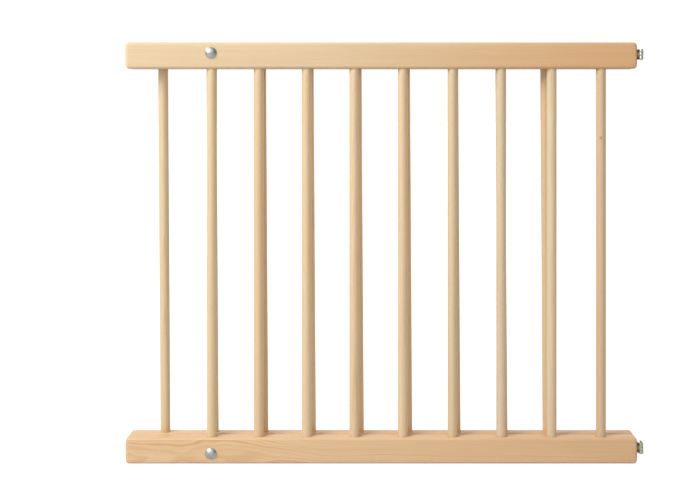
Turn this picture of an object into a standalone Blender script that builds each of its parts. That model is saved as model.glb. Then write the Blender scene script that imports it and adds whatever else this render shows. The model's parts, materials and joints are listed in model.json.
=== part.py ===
"""Expandable wooden baby gate: two slatted panels back to back, clamped by carriage bolts.

The front panel carries the hinges. The rear panel is a like panel turned half round, and slides to -X
along the front one. +X runs to the hinges, +Y to the back and +Z up. The origin is under the middle of
the front bottom rail. All sizes are in metres.
"""
import math

import bmesh
import bpy
from mathutils import Matrix, Vector

# Clearances
FIT_GAP = 0.0003            # between pieces that touch or fit into each other
PANEL_GAP = 0.0006          # running gap between the two panels' rails

# Panels
RAIL_LENGTH = 0.720
GATE_HEIGHT = 0.592
RAIL_HEIGHT = 0.037
RAIL_THICKNESS = 0.020
RAIL_EDGE_RADIUS = 0.004
BAR_COUNT = 9
BAR_DIAMETER = 0.014
BAR_SEAT_DEPTH = 0.013
BAR_END_CHAMFER = 0.001
NEAR_END_TO_BAR = 0.050     # from a panel's near end to its nearest bar, on centre
FAR_END_TO_BAR = 0.121      # from its far end to its bolt and the bar in line with it
# How far along X the bars' drilled seats are from an even pitch, left to right
FRONT_BAR_WANDER = (0.0, -0.0025, -0.0035, -0.0050, -0.0050, -0.0035, -0.0035, -0.0010, 0.0)
REAR_BAR_WANDER = (-0.0005, 0.0, 0.0025, 0.0020, 0.0020, 0.0025, 0.0030, 0.0015, -0.0030)

# Carriage bolts, washers and wing nuts
BOLT_DIAMETER = 0.006
BOLT_LENGTH = 0.055
BOLT_HEAD_DIAMETER = 0.0165
BOLT_HEAD_HEIGHT = 0.0039
BOLT_NECK_SIZE = 0.006
BOLT_NECK_LENGTH = 0.004
BOLT_TO_SEAT_WOOD = 0.0057  # wood left between a bolt hole and the end of the bar's seat
SLOT_END_WOOD = 0.099       # from the bolt, fully drawn out, to the rear rail's end
WASHER_DIAMETER = 0.018
WASHER_THICKNESS = 0.0016
NUT_BASE_DIAMETER = 0.013
NUT_TOP_DIAMETER = 0.0105
NUT_HEIGHT = 0.008
WING_THICKNESS = 0.0028
WING_LOBE_RADIUS = 0.0044
WING_REACH = 0.016
WING_HEIGHT = 0.0165

# Hinges
HINGE_HEIGHT = 0.0146
HINGE_BARREL_DIAMETER = 0.006
HINGE_BARREL_STAND_OFF = 0.0022   # from the rail's end to the barrel
HINGE_LEAF_THICKNESS = 0.0014
HINGE_LEAF_DEPTH = 0.017
HINGE_PIN_DIAMETER = 0.0024
TOP_HINGE_RISE = 0.0015     # above the middle of the top rail
BOTTOM_HINGE_RISE = 0.003   # above the middle of the bottom rail
HINGE_SCREW_STAGGER_Y = 0.0026
HINGE_SCREW_STAGGER_Z = 0.0033

# Wood screws
SCREW_DIAMETER = 0.0028
SCREW_HEAD_DIAMETER = 0.0052
SCREW_HEAD_HEIGHT = 0.0015
HINGE_SCREW_LENGTH = 0.016
LATCH_SCREW_LENGTH = 0.012

# Slide latch
LATCH_PLATE_LENGTH = 0.044
LATCH_PLATE_HEIGHT = 0.019
LATCH_PLATE_THICKNESS = 0.0012
LATCH_END_INSET = 0.006     # from the rail's end to the plate
LATCH_TOP_MARGIN = 0.002    # from the rail's top to the plate
LATCH_ROD_DIAMETER = 0.006
LATCH_ROD_TAIL = 0.001      # of the shot rod behind the plate
LATCH_ROD_SETBACK = 0.003   # the drawn-back rod's tip from the rail's end
LATCH_ROD_LIFT = 0.0008     # from the plate to the rod
LATCH_GUIDE_LENGTH = 0.006
LATCH_GUIDE_WALL = 0.0016
LATCH_TRAVEL = 0.018
LATCH_KNOB_DIAMETER = 0.009
LATCH_KNOB_STEM_DIAMETER = 0.003
LATCH_KNOB_STEM_LENGTH = 0.0065
LATCH_KNOB_SEAT_DEPTH = 0.0018
LATCH_SCREW_SPACING_X = 0.020
LATCH_SCREW_SPACING_Z = 0.013

# Fineness of round shapes
BAR_STEPS = 24
HARDWARE_STEPS = 20
SMALL_STEPS = 12
ARC_POINTS = 6
CUT_OVERRUN = 0.002

# Places that follow from the sizes
RAIL_HALF_LENGTH = RAIL_LENGTH / 2
REAR_PANEL_Y = RAIL_THICKNESS + PANEL_GAP
FRONT_FACE_Y = -RAIL_THICKNESS / 2
REAR_FACE_Y = REAR_PANEL_Y + RAIL_THICKNESS / 2
BAR_PITCH = (RAIL_LENGTH - NEAR_END_TO_BAR - FAR_END_TO_BAR) / (BAR_COUNT - 1)
BAR_LENGTH = GATE_HEIGHT - 2 * (RAIL_HEIGHT - BAR_SEAT_DEPTH + FIT_GAP)
BOLT_HOLE_RADIUS = BOLT_DIAMETER / 2 + FIT_GAP
BOLT_X = FAR_END_TO_BAR - RAIL_HALF_LENGTH
BOLT_RISE = RAIL_HEIGHT - BAR_SEAT_DEPTH - BOLT_TO_SEAT_WOOD - BOLT_HOLE_RADIUS
BOLT_HEIGHTS = {"top": GATE_HEIGHT - BOLT_RISE, "bottom": BOLT_RISE}
RAIL_HEIGHTS = {"top": GATE_HEIGHT - RAIL_HEIGHT / 2, "bottom": RAIL_HEIGHT / 2}
EXTENSION_TRAVEL = RAIL_LENGTH - FAR_END_TO_BAR - SLOT_END_WOOD
WASHER_Y = REAR_FACE_Y + FIT_GAP
NUT_Y = WASHER_Y + WASHER_THICKNESS + FIT_GAP
HINGE_X = RAIL_HALF_LENGTH + HINGE_BARREL_STAND_OFF + HINGE_BARREL_DIAMETER / 2
HINGE_Y = FRONT_FACE_Y + HINGE_BARREL_DIAMETER / 2
HINGE_HEIGHTS = {
    "top": RAIL_HEIGHTS["top"] + TOP_HINGE_RISE,
    "bottom": RAIL_HEIGHTS["bottom"] + BOTTOM_HINGE_RISE,
}
HINGE_SCREW_Y = HINGE_Y + HINGE_LEAF_DEPTH / 2 + HINGE_SCREW_STAGGER_Y / 2
KNUCKLE_HEIGHT = HINGE_HEIGHT / 3
SCREW_HOLE_RADIUS = SCREW_DIAMETER / 2 + FIT_GAP
LATCH_X = LATCH_END_INSET + LATCH_PLATE_LENGTH / 2 - RAIL_HALF_LENGTH
LATCH_Z = GATE_HEIGHT - LATCH_TOP_MARGIN - LATCH_PLATE_HEIGHT / 2
LATCH_PLATE_Y = REAR_FACE_Y + FIT_GAP
LATCH_ROD_Y = LATCH_PLATE_Y + LATCH_PLATE_THICKNESS + LATCH_ROD_LIFT + LATCH_ROD_DIAMETER / 2
LATCH_ROD_X = LATCH_ROD_SETBACK - RAIL_HALF_LENGTH
LATCH_ROD_LENGTH = LATCH_END_INSET - LATCH_ROD_SETBACK + LATCH_PLATE_LENGTH + LATCH_TRAVEL + LATCH_ROD_TAIL
LATCH_KNOB_X = LATCH_X + LATCH_TRAVEL / 2

TOWARDS_BACK = Matrix.Rotation(math.radians(-90), 4, "X")   # turns a shape's +Z to +Y
TOWARDS_HINGE = Matrix.Rotation(math.radians(90), 4, "Y")   # turns a shape's +Z to +X


def clear_scene():
    for existing in list(bpy.data.objects):
        bpy.data.objects.remove(existing, do_unlink=True)


def make_collection(name):
    collection = bpy.data.collections.new(name)
    bpy.context.scene.collection.children.link(collection)
    return collection


def make_material(name, colour, roughness, metallic):
    material = bpy.data.materials.new(name)
    material.use_nodes = True
    shader = material.node_tree.nodes["Principled BSDF"]
    shader.inputs["Base Color"].default_value = (*colour, 1.0)
    shader.inputs["Roughness"].default_value = roughness
    shader.inputs["Metallic"].default_value = metallic
    return material


def add_object(name, mesh, collection, place=Matrix()):
    new_object = bpy.data.objects.new(name, mesh)
    collection.objects.link(new_object)
    new_object.matrix_world = place
    return new_object


def mesh_from_bmesh(name, shape):
    mesh = bpy.data.meshes.new(name)
    shape.to_mesh(mesh)
    shape.free()
    return mesh


def box_mesh(name, size):
    """A box of the given size about its own middle."""
    shape = bmesh.new()
    bmesh.ops.create_cube(shape, size=1.0)
    bmesh.ops.scale(shape, vec=Vector(size), verts=shape.verts)
    return mesh_from_bmesh(name, shape)


def cylinder_mesh(name, radius, length, steps):
    """A closed cylinder about its own middle, along Z."""
    shape = bmesh.new()
    bmesh.ops.create_cone(
        shape,
        cap_ends=True,
        segments=steps,
        radius1=radius,
        radius2=radius,
        depth=length,
    )
    return mesh_from_bmesh(name, shape)


def turned_object(name, outline, steps, place, closed=False):
    """A solid of revolution about Z. The outline is (radius, height) points down the outer side."""
    shape = bmesh.new()
    points = [shape.verts.new((radius, 0.0, height)) for radius, height in outline]
    for first, second in zip(points, points[1:]):
        shape.edges.new((first, second))
    if closed:
        shape.edges.new((points[-1], points[0]))
    new_object = add_object(name, mesh_from_bmesh(name, shape), PARTS, place)
    screw = new_object.modifiers.new("turn", "SCREW")
    screw.axis = "Z"
    screw.angle = math.tau
    screw.steps = steps
    screw.render_steps = steps
    screw.use_merge_vertices = True
    screw.merge_threshold = 0.00001
    screw.use_smooth_shade = True
    return new_object


def flat_outline_mesh(name, points, thickness):
    """A flat outline in XY, given thickness along Z, as a closed mesh."""
    curve = bpy.data.curves.new(name, "CURVE")
    curve.dimensions = "2D"
    curve.fill_mode = "BOTH"
    curve.extrude = thickness / 2
    spline = curve.splines.new("POLY")
    spline.points.add(len(points) - 1)
    for point, (x, y) in zip(spline.points, points):
        point.co = (x, y, 0.0, 1.0)
    spline.use_cyclic_u = True
    outline = bpy.data.objects.new(name, curve)
    CUTTERS.objects.link(outline)
    bpy.context.view_layer.update()
    mesh = bpy.data.meshes.new_from_object(outline.evaluated_get(bpy.context.evaluated_depsgraph_get()))
    bpy.data.objects.remove(outline, do_unlink=True)
    shape = bmesh.new()
    shape.from_mesh(mesh)
    bmesh.ops.remove_doubles(shape, verts=shape.verts, dist=0.00001)
    shape.to_mesh(mesh)
    shape.free()
    return mesh


def combine(target, operation, mesh, place):
    """Cut a shape from the target, or join one to it. The shape itself stays out of the render."""
    tool = add_object(f"{target.name}_tool_{len(target.modifiers)}", mesh, CUTTERS, place)
    tool.hide_render = True
    tool.display_type = "WIRE"
    boolean = target.modifiers.new(tool.name, "BOOLEAN")
    boolean.operation = operation
    boolean.solver = "EXACT"
    boolean.object = tool


def cut_box(target, low, high):
    """Cut away the box between two corners."""
    low, high = Vector(low), Vector(high)
    combine(target, "DIFFERENCE", box_mesh("box_cut", high - low), Matrix.Translation((low + high) / 2))


def cut_hole(target, middle, turn, radius, length, steps):
    """Cut a round hole about its middle. The turn takes +Z to the hole's direction."""
    mesh = cylinder_mesh("round_cut", radius, length, steps)
    combine(target, "DIFFERENCE", mesh, Matrix.Translation(middle) @ turn)


def join_box(target, low, high):
    low, high = Vector(low), Vector(high)
    combine(target, "UNION", box_mesh("box_join", high - low), Matrix.Translation((low + high) / 2))


def soften(target, width, segments):
    bevel = target.modifiers.new("rounded_edges", "BEVEL")
    bevel.width = width
    bevel.segments = segments
    bevel.limit_method = "ANGLE"
    bevel.angle_limit = math.radians(40)


def give(target, material, parent=None):
    """Give a piece its material and hang it on its parent without moving it."""
    target.data.materials.clear()
    target.data.materials.append(material)
    if parent is not None:
        bpy.context.view_layer.update()
        target.parent = parent
        target.matrix_parent_inverse = parent.matrix_world.inverted()
    return target


def add_pivot(name, place, parent=None):
    """An empty on a joint's axis, for the pieces that move with it."""
    pivot = bpy.data.objects.new(name, None)
    PARTS.objects.link(pivot)
    pivot.location = place
    bpy.context.view_layer.update()
    if parent is not None:
        pivot.parent = parent
        pivot.matrix_parent_inverse = parent.matrix_world.inverted()
        bpy.context.view_layer.update()
    return pivot


def bar_positions(first, wander):
    """The bars' places along X, left to right from the first bar's."""
    places = []
    for index in range(BAR_COUNT):
        places.append(first + index * BAR_PITCH + wander[index % len(wander)])
    return places


def make_rail(name, panel_y, level, bars, parent):
    """A rounded rail with a blind seat for each bar."""
    middle = Vector((0.0, panel_y, RAIL_HEIGHTS[level]))
    size = (RAIL_LENGTH, RAIL_THICKNESS, RAIL_HEIGHT)
    rail = add_object(name, box_mesh(name, size), PARTS, Matrix.Translation(middle))
    soften(rail, RAIL_EDGE_RADIUS, 3)
    inner_side = 1.0 if level == "bottom" else -1.0
    seat_middle = inner_side * (RAIL_HEIGHT - BAR_SEAT_DEPTH + CUT_OVERRUN) / 2
    for place in bars:
        cut_hole(
            rail,
            middle + Vector((place, 0.0, seat_middle)),
            Matrix(),
            BAR_DIAMETER / 2 + FIT_GAP,
            BAR_SEAT_DEPTH + CUT_OVERRUN,
            BAR_STEPS,
        )
    return give(rail, WOOD, parent)


def cut_bolt_hole(rail, level):
    """The front rail's hole, with a square recess that the bolt's neck is drawn into."""
    middle = Vector((BOLT_X, 0.0, BOLT_HEIGHTS[level]))
    through = RAIL_THICKNESS + 2 * CUT_OVERRUN
    cut_hole(rail, middle, TOWARDS_BACK, BOLT_HOLE_RADIUS, through, HARDWARE_STEPS)
    half = BOLT_NECK_SIZE / 2 + FIT_GAP
    recess_end = FRONT_FACE_Y + BOLT_NECK_LENGTH + FIT_GAP
    low = middle + Vector((-half, FRONT_FACE_Y - CUT_OVERRUN, -half))
    high = middle + Vector((half, recess_end, half))
    cut_box(rail, low, high)


def cut_slot(rail, level):
    """The rear rail's slot, with round ends, that lets the bolt pass from end to end of its travel."""
    points = []
    for centre_x, start in ((BOLT_X + EXTENSION_TRAVEL, -90), (BOLT_X, 90)):
        for step in range(ARC_POINTS * 2 + 1):
            angle = math.radians(start + 180 * step / (ARC_POINTS * 2))
            points.append((
                centre_x + BOLT_HOLE_RADIUS * math.cos(angle),
                BOLT_HOLE_RADIUS * math.sin(angle),
            ))
    mesh = flat_outline_mesh("slot_cut", points, RAIL_THICKNESS + 2 * CUT_OVERRUN)
    upright = Matrix.Rotation(math.radians(90), 4, "X")
    place = Matrix.Translation((0.0, REAR_PANEL_Y, BOLT_HEIGHTS[level])) @ upright
    combine(rail, "DIFFERENCE", mesh, place)


def make_bar(name, place, panel_y, parent):
    radius = BAR_DIAMETER / 2
    half = BAR_LENGTH / 2
    outline = [
        (0.0, half),
        (radius - BAR_END_CHAMFER, half),
        (radius, half - BAR_END_CHAMFER),
        (radius, BAR_END_CHAMFER - half),
        (radius - BAR_END_CHAMFER, -half),
        (0.0, -half),
    ]
    middle = Matrix.Translation((place, panel_y, GATE_HEIGHT / 2))
    return give(turned_object(name, outline, BAR_STEPS, middle), WOOD, parent)


def make_front_panel():
    panel = add_pivot("front_panel", (0.0, 0.0, 0.0))
    bars = bar_positions(BOLT_X, FRONT_BAR_WANDER)
    for level in ("top", "bottom"):
        rail = make_rail(f"front_{level}_rail", 0.0, level, bars, panel)
        cut_bolt_hole(rail, level)
        for y, z in hinge_screw_places(level):
            middle = (RAIL_HALF_LENGTH + (CUT_OVERRUN - HINGE_SCREW_LENGTH) / 2, y, z)
            length = HINGE_SCREW_LENGTH + CUT_OVERRUN
            cut_hole(rail, middle, TOWARDS_HINGE, SCREW_HOLE_RADIUS, length, SMALL_STEPS)
    for index, place in enumerate(bars, start=1):
        make_bar(f"front_bar_{index}", place, 0.0, panel)
    return panel


def make_rear_panel():
    panel = add_pivot("rear_panel", (0.0, REAR_PANEL_Y, 0.0))
    bars = bar_positions(NEAR_END_TO_BAR - RAIL_HALF_LENGTH, REAR_BAR_WANDER)
    for level in ("top", "bottom"):
        rail = make_rail(f"rear_{level}_rail", REAR_PANEL_Y, level, bars, panel)
        cut_slot(rail, level)
        if level == "top":
            for x, z in latch_screw_places():
                middle = (x, REAR_FACE_Y + (CUT_OVERRUN - LATCH_SCREW_LENGTH) / 2, z)
                length = LATCH_SCREW_LENGTH + CUT_OVERRUN
                cut_hole(rail, middle, TOWARDS_BACK, SCREW_HOLE_RADIUS, length, SMALL_STEPS)
    for index, place in enumerate(bars, start=1):
        make_bar(f"rear_bar_{index}", place, REAR_PANEL_Y, panel)
    return panel


def make_bolt(level, panel):
    """A carriage bolt: domed head in front, square neck, plain shank to the back."""
    radius = BOLT_DIAMETER / 2
    head_radius = BOLT_HEAD_DIAMETER / 2
    chamfer = BOLT_DIAMETER / 8
    outline = [
        (0.0, BOLT_LENGTH),
        (radius - chamfer, BOLT_LENGTH),
        (radius, BOLT_LENGTH - chamfer),
        (radius, 0.0),
        (head_radius, 0.0),
    ]
    for step in range(1, ARC_POINTS + 1):
        angle = math.pi / 2 * step / ARC_POINTS
        outline.append((head_radius * math.cos(angle), -BOLT_HEAD_HEIGHT * math.sin(angle)))
    outline[-1] = (0.0, -BOLT_HEAD_HEIGHT)
    place = Matrix.Translation((BOLT_X, FRONT_FACE_Y - FIT_GAP, BOLT_HEIGHTS[level])) @ TOWARDS_BACK
    bolt = turned_object(f"{level}_bolt", outline, HARDWARE_STEPS, place)
    root_depth = BOLT_HEAD_HEIGHT / 4
    neck = box_mesh("neck", (BOLT_NECK_SIZE, BOLT_NECK_SIZE, BOLT_NECK_LENGTH + root_depth))
    neck_middle = Matrix.Translation((0.0, 0.0, (BOLT_NECK_LENGTH - root_depth) / 2))
    combine(bolt, "UNION", neck, place @ neck_middle)
    return give(bolt, STEEL, panel)


def make_washer(level, pivot):
    outer, inner = WASHER_DIAMETER / 2, BOLT_HOLE_RADIUS
    outline = [(outer, WASHER_THICKNESS), (outer, 0.0), (inner, 0.0), (inner, WASHER_THICKNESS)]
    place = Matrix.Translation((BOLT_X, WASHER_Y, BOLT_HEIGHTS[level])) @ TOWARDS_BACK
    washer = turned_object(f"{level}_washer", outline, HARDWARE_STEPS, place, closed=True)
    return give(washer, STEEL, pivot)


def wing_outline(side):
    """One wing, from inside the hub's wall out to a round lobe and back."""
    root = (NUT_TOP_DIAMETER / 2 + BOLT_HOLE_RADIUS) / 2
    lobe_x = WING_REACH - WING_LOBE_RADIUS
    lobe_z = WING_HEIGHT - WING_LOBE_RADIUS
    points = [(side * root, NUT_HEIGHT / 8)]
    for step in range(ARC_POINTS * 2 + 1):
        angle = math.radians(-40 + 205 * step / (ARC_POINTS * 2))
        points.append((
            side * (lobe_x + WING_LOBE_RADIUS * math.cos(angle)),
            lobe_z + WING_LOBE_RADIUS * math.sin(angle),
        ))
    points.append((side * root, NUT_HEIGHT * 0.9))
    return points


def make_wing_nut(level, pivot):
    base, top, bore = NUT_BASE_DIAMETER / 2, NUT_TOP_DIAMETER / 2, BOLT_HOLE_RADIUS
    outline = [(top, NUT_HEIGHT), (base, NUT_HEIGHT / 4), (base, 0.0), (bore, 0.0), (bore, NUT_HEIGHT)]
    place = Matrix.Translation((BOLT_X, NUT_Y, BOLT_HEIGHTS[level])) @ TOWARDS_BACK
    nut = turned_object(f"{level}_wing_nut", outline, HARDWARE_STEPS, place, closed=True)
    wing_turn = Matrix.Rotation(math.radians(90), 4, "X")
    for side in (-1, 1):
        mesh = flat_outline_mesh("wing", wing_outline(side), WING_THICKNESS)
        combine(nut, "UNION", mesh, place @ wing_turn)
    return give(nut, STEEL, pivot)


def make_clamp(level, panel):
    """The bolt with the washer and the wing nut that back off along it."""
    make_bolt(level, panel)
    washer_pivot = add_pivot(f"{level}_washer_slide", (BOLT_X, WASHER_Y, BOLT_HEIGHTS[level]), panel)
    make_washer(level, washer_pivot)
    nut_pivot = add_pivot(f"{level}_nut_turn", (BOLT_X, NUT_Y, BOLT_HEIGHTS[level]), washer_pivot)
    make_wing_nut(level, nut_pivot)


def make_screw(name, length, place, parent):
    """A round-headed wood screw. Its point is at the low end, and its head rests at height 0."""
    radius = SCREW_DIAMETER / 2
    head_radius = SCREW_HEAD_DIAMETER / 2
    outline = [
        (0.0, SCREW_HEAD_HEIGHT),
        (head_radius * 0.6, SCREW_HEAD_HEIGHT * 0.85),
        (head_radius, SCREW_HEAD_HEIGHT * 0.3),
        (head_radius, 0.0),
        (radius, 0.0),
        (radius, 2 * SCREW_DIAMETER - length),
        (0.0, -length),
    ]
    return give(turned_object(name, outline, SMALL_STEPS, place), STEEL, parent)


def hinge_screw_places(level):
    """The leaf's two staggered holes, as (Y, Z)."""
    height = HINGE_HEIGHTS[level]
    return [
        (HINGE_SCREW_Y - HINGE_SCREW_STAGGER_Y, height + HINGE_SCREW_STAGGER_Z),
        (HINGE_SCREW_Y + HINGE_SCREW_STAGGER_Y, height - HINGE_SCREW_STAGGER_Z),
    ]


def cut_leaf_holes(leaf, plate_x, level):
    for y, z in hinge_screw_places(level):
        length = HINGE_LEAF_THICKNESS + 2 * CUT_OVERRUN
        cut_hole(leaf, (plate_x, y, z), TOWARDS_HINGE, SCREW_HOLE_RADIUS, length, SMALL_STEPS)


def join_barrel(leaf, height, length):
    barrel = cylinder_mesh("barrel", HINGE_BARREL_DIAMETER / 2, length, HARDWARE_STEPS)
    combine(leaf, "UNION", barrel, Matrix.Translation((HINGE_X, HINGE_Y, height)))


def cut_pin_bore(leaf, height):
    bore = HINGE_PIN_DIAMETER / 2 + FIT_GAP
    length = HINGE_HEIGHT + 2 * CUT_OVERRUN
    cut_hole(leaf, (HINGE_X, HINGE_Y, height), Matrix(), bore, length, SMALL_STEPS)


def make_rail_leaf(level, panel):
    """The leaf on the rail's end. It bends out at its front edge to the two outer knuckles."""
    height = HINGE_HEIGHTS[level]
    low_z, high_z = height - HINGE_HEIGHT / 2, height + HINGE_HEIGHT / 2
    plate_low_x = RAIL_HALF_LENGTH + FIT_GAP
    plate_high_x = plate_low_x + HINGE_LEAF_THICKNESS
    neck_y = HINGE_Y - HINGE_LEAF_THICKNESS / 2
    plate_middle = Vector(((plate_low_x + plate_high_x) / 2, neck_y + HINGE_LEAF_DEPTH / 2, height))
    plate = box_mesh("rail_leaf", (HINGE_LEAF_THICKNESS, HINGE_LEAF_DEPTH, HINGE_HEIGHT))
    leaf = add_object(f"{level}_hinge_rail_leaf", plate, PARTS, Matrix.Translation(plate_middle))
    neck_low = (plate_low_x + HINGE_LEAF_THICKNESS / 2, neck_y, low_z)
    join_box(leaf, neck_low, (HINGE_X, neck_y + HINGE_LEAF_THICKNESS, high_z))
    join_barrel(leaf, height, HINGE_HEIGHT)
    reach = HINGE_BARREL_DIAMETER / 2 + FIT_GAP
    half_window = KNUCKLE_HEIGHT / 2 + FIT_GAP
    cut_box(
        leaf,
        (HINGE_X - reach, HINGE_Y - reach, height - half_window),
        (HINGE_X + reach, HINGE_Y + reach, height + half_window),
    )
    cut_pin_bore(leaf, height)
    cut_leaf_holes(leaf, plate_middle.x, level)
    give(leaf, STEEL, panel)
    for index, (y, z) in enumerate(hinge_screw_places(level), start=1):
        place = Matrix.Translation((plate_high_x + FIT_GAP, y, z)) @ TOWARDS_HINGE
        make_screw(f"{level}_hinge_screw_{index}", HINGE_SCREW_LENGTH, place, panel)


def make_hinge_pin(level, panel):
    radius, half = HINGE_PIN_DIAMETER / 2, HINGE_HEIGHT / 2 + FIT_GAP
    rim = radius / 3
    outline = [
        (0.0, half + rim),
        (radius - rim, half + rim),
        (radius, half),
        (radius, -half),
        (radius - rim, -half - rim),
        (0.0, -half - rim),
    ]
    place = Matrix.Translation((HINGE_X, HINGE_Y, HINGE_HEIGHTS[level]))
    give(turned_object(f"{level}_hinge_pin", outline, SMALL_STEPS, place), STEEL, panel)


def make_wall_leaf(level, panel):
    """The leaf that the door post takes, on the barrel's outer side, with the middle knuckle."""
    height = HINGE_HEIGHTS[level]
    pivot = add_pivot(f"{level}_hinge_turn", (HINGE_X, HINGE_Y, height), panel)
    plate_x = HINGE_X + (HINGE_BARREL_DIAMETER - HINGE_LEAF_THICKNESS) / 2
    plate = box_mesh("wall_leaf", (HINGE_LEAF_THICKNESS, HINGE_LEAF_DEPTH, HINGE_HEIGHT))
    middle = Matrix.Translation((plate_x, HINGE_Y + HINGE_LEAF_DEPTH / 2, height))
    leaf = add_object(f"{level}_hinge_wall_leaf", plate, PARTS, middle)
    join_barrel(leaf, height, KNUCKLE_HEIGHT)
    reach = HINGE_BARREL_DIAMETER / 2 + FIT_GAP
    half_knuckle = KNUCKLE_HEIGHT / 2
    for side in (-1, 1):
        ends = sorted((side * half_knuckle, side * HINGE_HEIGHT))
        cut_box(
            leaf,
            (HINGE_X - reach, HINGE_Y - reach, height + ends[0]),
            (HINGE_X + reach, HINGE_Y + reach, height + ends[1]),
        )
    cut_pin_bore(leaf, height)
    cut_leaf_holes(leaf, plate_x, level)
    give(leaf, STEEL, pivot)


def latch_screw_places():
    """The latch plate's four holes, as (X, Z)."""
    return [
        (LATCH_X + x * LATCH_SCREW_SPACING_X / 2, LATCH_Z + z * LATCH_SCREW_SPACING_Z / 2)
        for x in (-1, 1)
        for z in (-1, 1)
    ]


def make_latch_plate(panel):
    """A screwed plate with a bored guide at each end for the rod."""
    size = (LATCH_PLATE_LENGTH, LATCH_PLATE_THICKNESS, LATCH_PLATE_HEIGHT)
    plate_middle = (LATCH_X, LATCH_PLATE_Y + LATCH_PLATE_THICKNESS / 2, LATCH_Z)
    plate = add_object("latch_plate", box_mesh("plate", size), PARTS, Matrix.Translation(plate_middle))
    outer = LATCH_ROD_DIAMETER / 2 + FIT_GAP + LATCH_GUIDE_WALL
    root_y = LATCH_PLATE_Y + LATCH_PLATE_THICKNESS / 2
    for side in (-1, 1):
        guide_x = LATCH_X + side * (LATCH_PLATE_LENGTH - LATCH_GUIDE_LENGTH) / 2 - side * FIT_GAP
        low = (guide_x - LATCH_GUIDE_LENGTH / 2, root_y, LATCH_Z - outer)
        high = (guide_x + LATCH_GUIDE_LENGTH / 2, LATCH_ROD_Y, LATCH_Z + outer)
        join_box(plate, low, high)
        crown = cylinder_mesh("guide_crown", outer, LATCH_GUIDE_LENGTH, HARDWARE_STEPS)
        crown_place = Matrix.Translation((guide_x, LATCH_ROD_Y, LATCH_Z)) @ TOWARDS_HINGE
        combine(plate, "UNION", crown, crown_place)
    bore = LATCH_ROD_DIAMETER / 2 + FIT_GAP
    length = LATCH_PLATE_LENGTH + 2 * CUT_OVERRUN
    cut_hole(plate, (LATCH_X, LATCH_ROD_Y, LATCH_Z), TOWARDS_HINGE, bore, length, HARDWARE_STEPS)
    for x, z in latch_screw_places():
        through = LATCH_PLATE_THICKNESS + 2 * CUT_OVERRUN
        cut_hole(plate, (x, root_y, z), TOWARDS_BACK, SCREW_HOLE_RADIUS, through, SMALL_STEPS)
    give(plate, STEEL, panel)
    head_y = LATCH_PLATE_Y + LATCH_PLATE_THICKNESS + FIT_GAP
    for index, (x, z) in enumerate(latch_screw_places(), start=1):
        place = Matrix.Translation((x, head_y, z)) @ TOWARDS_BACK
        make_screw(f"latch_screw_{index}", LATCH_SCREW_LENGTH, place, panel)


def make_latch_rod(panel):
    """The sliding rod, drawn back at rest, with the knob set in a hole in its side."""
    pivot = add_pivot("latch_slide", (LATCH_ROD_X, LATCH_ROD_Y, LATCH_Z), panel)
    radius, rim = LATCH_ROD_DIAMETER / 2, LATCH_ROD_DIAMETER / 8
    outline = [
        (0.0, LATCH_ROD_LENGTH),
        (radius - rim, LATCH_ROD_LENGTH),
        (radius, LATCH_ROD_LENGTH - rim),
        (radius, rim),
        (radius - rim, 0.0),
        (0.0, 0.0),
    ]
    place = Matrix.Translation((LATCH_ROD_X, LATCH_ROD_Y, LATCH_Z)) @ TOWARDS_HINGE
    rod = turned_object("latch_rod", outline, HARDWARE_STEPS, place)
    seat_y = LATCH_ROD_Y + radius - (LATCH_KNOB_SEAT_DEPTH - CUT_OVERRUN) / 2
    seat_radius = LATCH_KNOB_STEM_DIAMETER / 2 + FIT_GAP
    seat_length = LATCH_KNOB_SEAT_DEPTH + CUT_OVERRUN
    cut_hole(rod, (LATCH_KNOB_X, seat_y, LATCH_Z), TOWARDS_BACK, seat_radius, seat_length, SMALL_STEPS)
    give(rod, STEEL, pivot)
    make_latch_knob(pivot, LATCH_ROD_Y + radius - LATCH_KNOB_SEAT_DEPTH + FIT_GAP)


def make_latch_knob(pivot, foot_y):
    """A ball on a thin stem."""
    ball, stem = LATCH_KNOB_DIAMETER / 2, LATCH_KNOB_STEM_DIAMETER / 2
    ball_height = LATCH_KNOB_STEM_LENGTH + ball
    start = math.pi - math.asin(stem / ball)
    outline = []
    for step in range(ARC_POINTS * 2 + 1):
        angle = start * step / (ARC_POINTS * 2)
        outline.append((ball * math.sin(angle), ball_height + ball * math.cos(angle)))
    outline += [(stem, 0.0), (0.0, 0.0)]
    place = Matrix.Translation((LATCH_KNOB_X, foot_y, LATCH_Z)) @ TOWARDS_BACK
    give(turned_object("latch_knob", outline, HARDWARE_STEPS, place), STEEL, pivot)


clear_scene()
PARTS = make_collection("safety_baby_gate")
CUTTERS = make_collection("cutters")
WOOD = make_material("pine", (0.74, 0.53, 0.32), 0.5, 0.0)
STEEL = make_material("zinc_plated_steel", (0.62, 0.62, 0.6), 0.35, 1.0)

front_panel = make_front_panel()
rear_panel = make_rear_panel()
for side_level in ("top", "bottom"):
    make_clamp(side_level, front_panel)
    make_rail_leaf(side_level, front_panel)
    make_hinge_pin(side_level, front_panel)
    make_wall_leaf(side_level, front_panel)
make_latch_plate(rear_panel)
make_latch_rod(rear_panel)
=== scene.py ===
"""Looks of an extending wooden safety gate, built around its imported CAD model.

Every part is rebuilt in finer detail on the body it belongs to: rails with eased edges, drilled
seats and long slots, turned bars, threaded carriage bolts, cast wing nuts, rolled butt hinges and
a slide latch. Lengths are in metres, in the CAD model's own frame.
"""

import json
import math
import random

import bmesh
import bpy
from mathutils import Matrix, Vector, noise


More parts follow.
